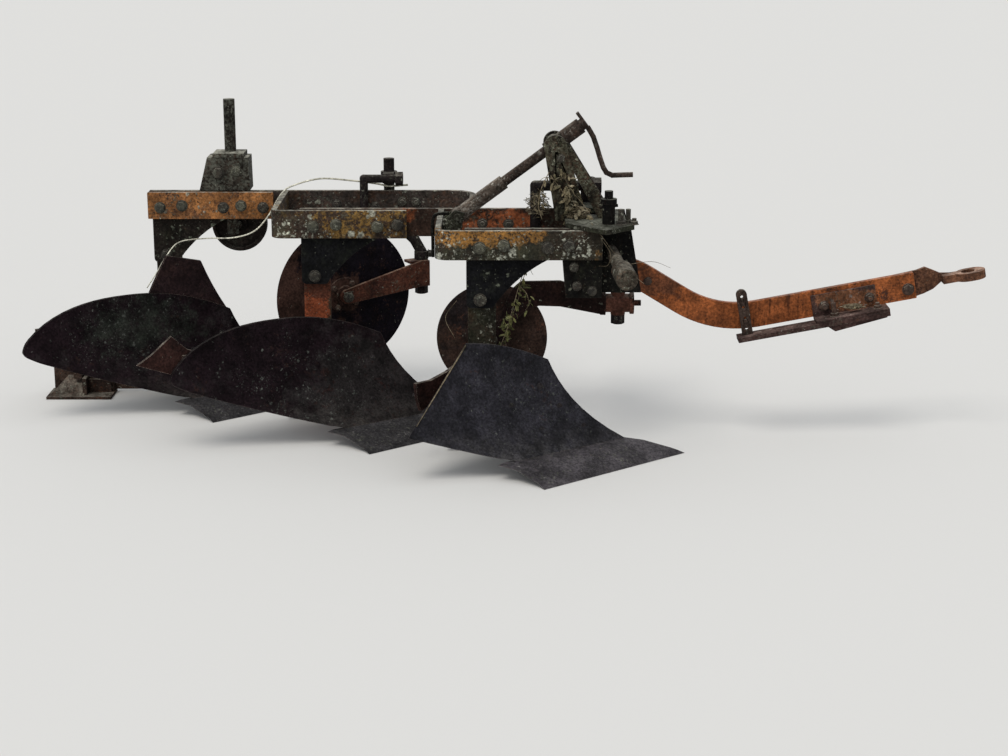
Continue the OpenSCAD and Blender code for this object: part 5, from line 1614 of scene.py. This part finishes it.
@dataclass
class Plants:
    """Dry stems and leaves that the plough has picked up."""

    face: WorkingFace = WorkingFace()
    edge_top: float = 352.0
    edge_gap: float = 17.5
    edge_points: int = 12
    edge_inset: float = 2.0
    edge_out: float = 3.0
    edge_r: float = 2.2
    long_stem: Vine = Vine(
        ((-196, 712, 672), (-255, 712, 668), (-293, 708, 676), (-378, 700, 688),
         (-471, 690, 695), (-554, 672, 676), (-590, 652, 652), (-636, 644, 578),
         (-681, 644, 534), (-744, 640, 516), (-826, 640, 514), (-912, 644, 502),
         (-954, 645, 460), (-988, 645, 405), (-1023, 650, 353)), 3.3)
    green: tuple[Vine, ...] = (
        Vine(((176, 52, 566), (150, 50, 489), (130, 44, 416), (113, 40, 357), (88, 36, 292)),
             1.3, 34, 24.0, 13.0),
        Vine(((182, 58, 560), (160, 62, 500), (146, 60, 440), (120, 54, 372), (110, 50, 320)),
             1.1, 26, 22.0, 12.0),
        Vine(((150, 50, 489), (170, 40, 470), (178, 36, 440), (168, 34, 420)), 0.9, 10, 20.0,
             8.0))
    dry: tuple[Vine, ...] = (
        Vine(((236, 148, 800), (214, 146, 752), (206, 140, 704), (216, 138, 664)), 1.3, 8),
        Vine(((300, 146, 796), (262, 142, 778), (226, 142, 786), (204, 150, 770)), 1.3, 3),
        Vine(((262, 148, 812), (288, 142, 768), (306, 132, 716), (330, 110, 672)), 1.5, 52,
             25.0, 17.0),
        Vine(((240, 146, 790), (276, 140, 742), (292, 132, 700), (300, 120, 670)), 1.4, 44,
             24.0, 17.0),
        Vine(((286, 140, 760), (332, 128, 712), (362, 90, 674)), 1.1, 10, 20.0, 12.0),
        Vine(((352, 20, 676), (384, -14, 640), (420, -30, 592), (458, -40, 548),
              (500, -30, 512)), 1.1),
        Vine(((376, -2, 640), (404, -30, 600), (398, -36, 566), (372, -18, 560)), 1.0),
        Vine(((430, -30, 560), (480, 40, 556), (540, 120, 544), (590, 160, 518)), 0.9),
        Vine(((-34, 30, 340), (-60, 28, 400), (-28, 20, 452)), 0.9))
    tangles: tuple[Tangle, ...] = (
        Tangle((206, 250, 692), (44, 60, 44), 34, 26),
        Tangle((318, 128, 686), (40, 26, 22), 22, 26),
        Tangle((1128, 166, 402), (50, 16, 9), 40, 16, 40.0, 9.0))

    def dress(self, leaves: Leaves, paints: Paintbox) -> None:
        """Grow the stems and set the leaves.

        Args:
            leaves: the leaf tree.
            paints: the finishes.
        """
        dice = random.Random(SEED)
        pale, stems = MeshMaker(), MeshMaker()
        self.long_stem.grow(pale)
        heights = [self.edge_top - self.edge_gap * i for i in range(self.edge_points)]
        edge = [self.face.point(0, z, self.face.broken_t(z) - self.edge_inset, self.edge_out)
                for z in heights]
        Vine(tuple(edge), self.edge_r).grow(stems)
        pale.finish("pale_stems", paints.get("stem"), Slot.SOIL)
        for name, vines, finish in (("green_leaves", self.green, "green_leaf"),
                                    ("vine_leaves", self.dry, "leaf")):
            rows = []
            for vine in vines:
                line = vine.grow(stems)
                for _ in range(vine.leaves):
                    spot = dice.choice(line)
                    away = Vector([dice.gauss(0, vine.spread * MM / 2) for _ in range(3)])
                    rows.append((spot + away, vine.leaf_size * MM * dice.uniform(0.6, 1.2)))
            leaves.place(name, rows, paints.get(finish))
        rows = []
        for tangle in self.tangles:
            rows += tangle.grow(stems, dice)
        leaves.place("tangle_leaves", rows, paints.get("leaf"))
        stems.finish("vine_stems", paints.get("vine"), Slot.SOIL)


# Stage


@dataclass
class Studio:
    """Floor, light and camera."""

    floor_size: float = 60.0
    floor_drop: float = 0.0006
    floor_colour: Colour = (0.62, 0.62 * 0.985, 0.62 * 0.95)
    sky_colour: Colour = (0.93, 0.96, 1.0)
    sky_strength: float = 0.85
    sun_colour: Colour = (1.0, 0.97, 0.92)
    sun_strength: float = 1.5
    sun_width: float = 28.0
    sun_tilt: tuple[float, float] = (28.0, -16.0)
    camera_at: Point = (107.0, -5440.0, 1667.0)
    pitch: float = 14.8
    lens: float = 70.214
    sensor: float = 36.0
    sight: float = 200.0

    def build(self) -> None:
        """Make the floor, the light and the camera."""
        bpy.context.scene.view_settings.view_transform = "Standard"
        self._floor()
        self._light()
        self._camera()

    def _floor(self) -> None:
        """Make the pale floor, a hair below the ground so that nothing cuts it."""
        half = self.floor_size / 2
        mesh = bpy.data.meshes.new("floor")
        mesh.from_pydata([(x, y, -self.floor_drop) for x, y in
                          ((-half, -half), (half, -half), (half, half), (-half, half))],
                         [], [(0, 1, 2, 3)])
        floor = bpy.data.objects.new("floor", mesh)
        bpy.context.scene.collection.objects.link(floor)
        material, graph = new_material("pale floor")
        graph.surface({"Base Color": self.floor_colour, "Roughness": 0.9,
                       "Specular IOR Level": 0.1})
        mesh.materials.append(material)

    def _light(self) -> None:
        """Make the even sky and a wide, soft sun."""
        world = bpy.data.worlds.new("studio")
        world.use_nodes = True
        sky = world.node_tree.nodes["Background"]
        sky.inputs[0].default_value = (*self.sky_colour, 1.0)
        sky.inputs[1].default_value = self.sky_strength
        bpy.context.scene.world = world
        sun = bpy.data.lights.new("sky sun", "SUN")
        sun.energy = self.sun_strength
        sun.angle = math.radians(self.sun_width)
        sun.color = self.sun_colour
        lamp = bpy.data.objects.new("sky_sun", sun)
        lamp.rotation_euler = Euler((*map(math.radians, self.sun_tilt), 0))
        bpy.context.scene.collection.objects.link(lamp)

    def _camera(self) -> None:
        """Set the camera where the photo was taken from."""
        eye = bpy.data.cameras.new("camera")
        eye.sensor_width = self.sensor
        eye.lens = self.lens
        eye.clip_end = self.sight
        camera = bpy.data.objects.new("camera", eye)
        camera.location = at(*self.camera_at)
        camera.rotation_euler = Euler((math.radians(90 - self.pitch), 0, 0))
        bpy.context.scene.collection.objects.link(camera)
        bpy.context.scene.camera = camera


def main() -> None:
    """Build the plough's looks in order and report each step."""
    logging.basicConfig(level=logging.INFO, format="%(message)s")
    random.seed(SEED)
    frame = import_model()
    paints = Paintbox(Effects())
    dress_cad(frame["nodes"], paints)
    LOG.info("dressed %d CAD nodes", len(frame["nodes"]))
    fasteners = Fasteners()
    for part in (FrameBars, Bottoms, Headstock, Drawbar, Coulters):
        part(fasteners, paints).dress()
        LOG.info("dressed %s", part.__name__)
    Plants().dress(Leaves(), paints)
    LOG.info("grew the plants")
    Studio().build()
    LOG.info("finished")


if __name__ == "__main__":
    main()
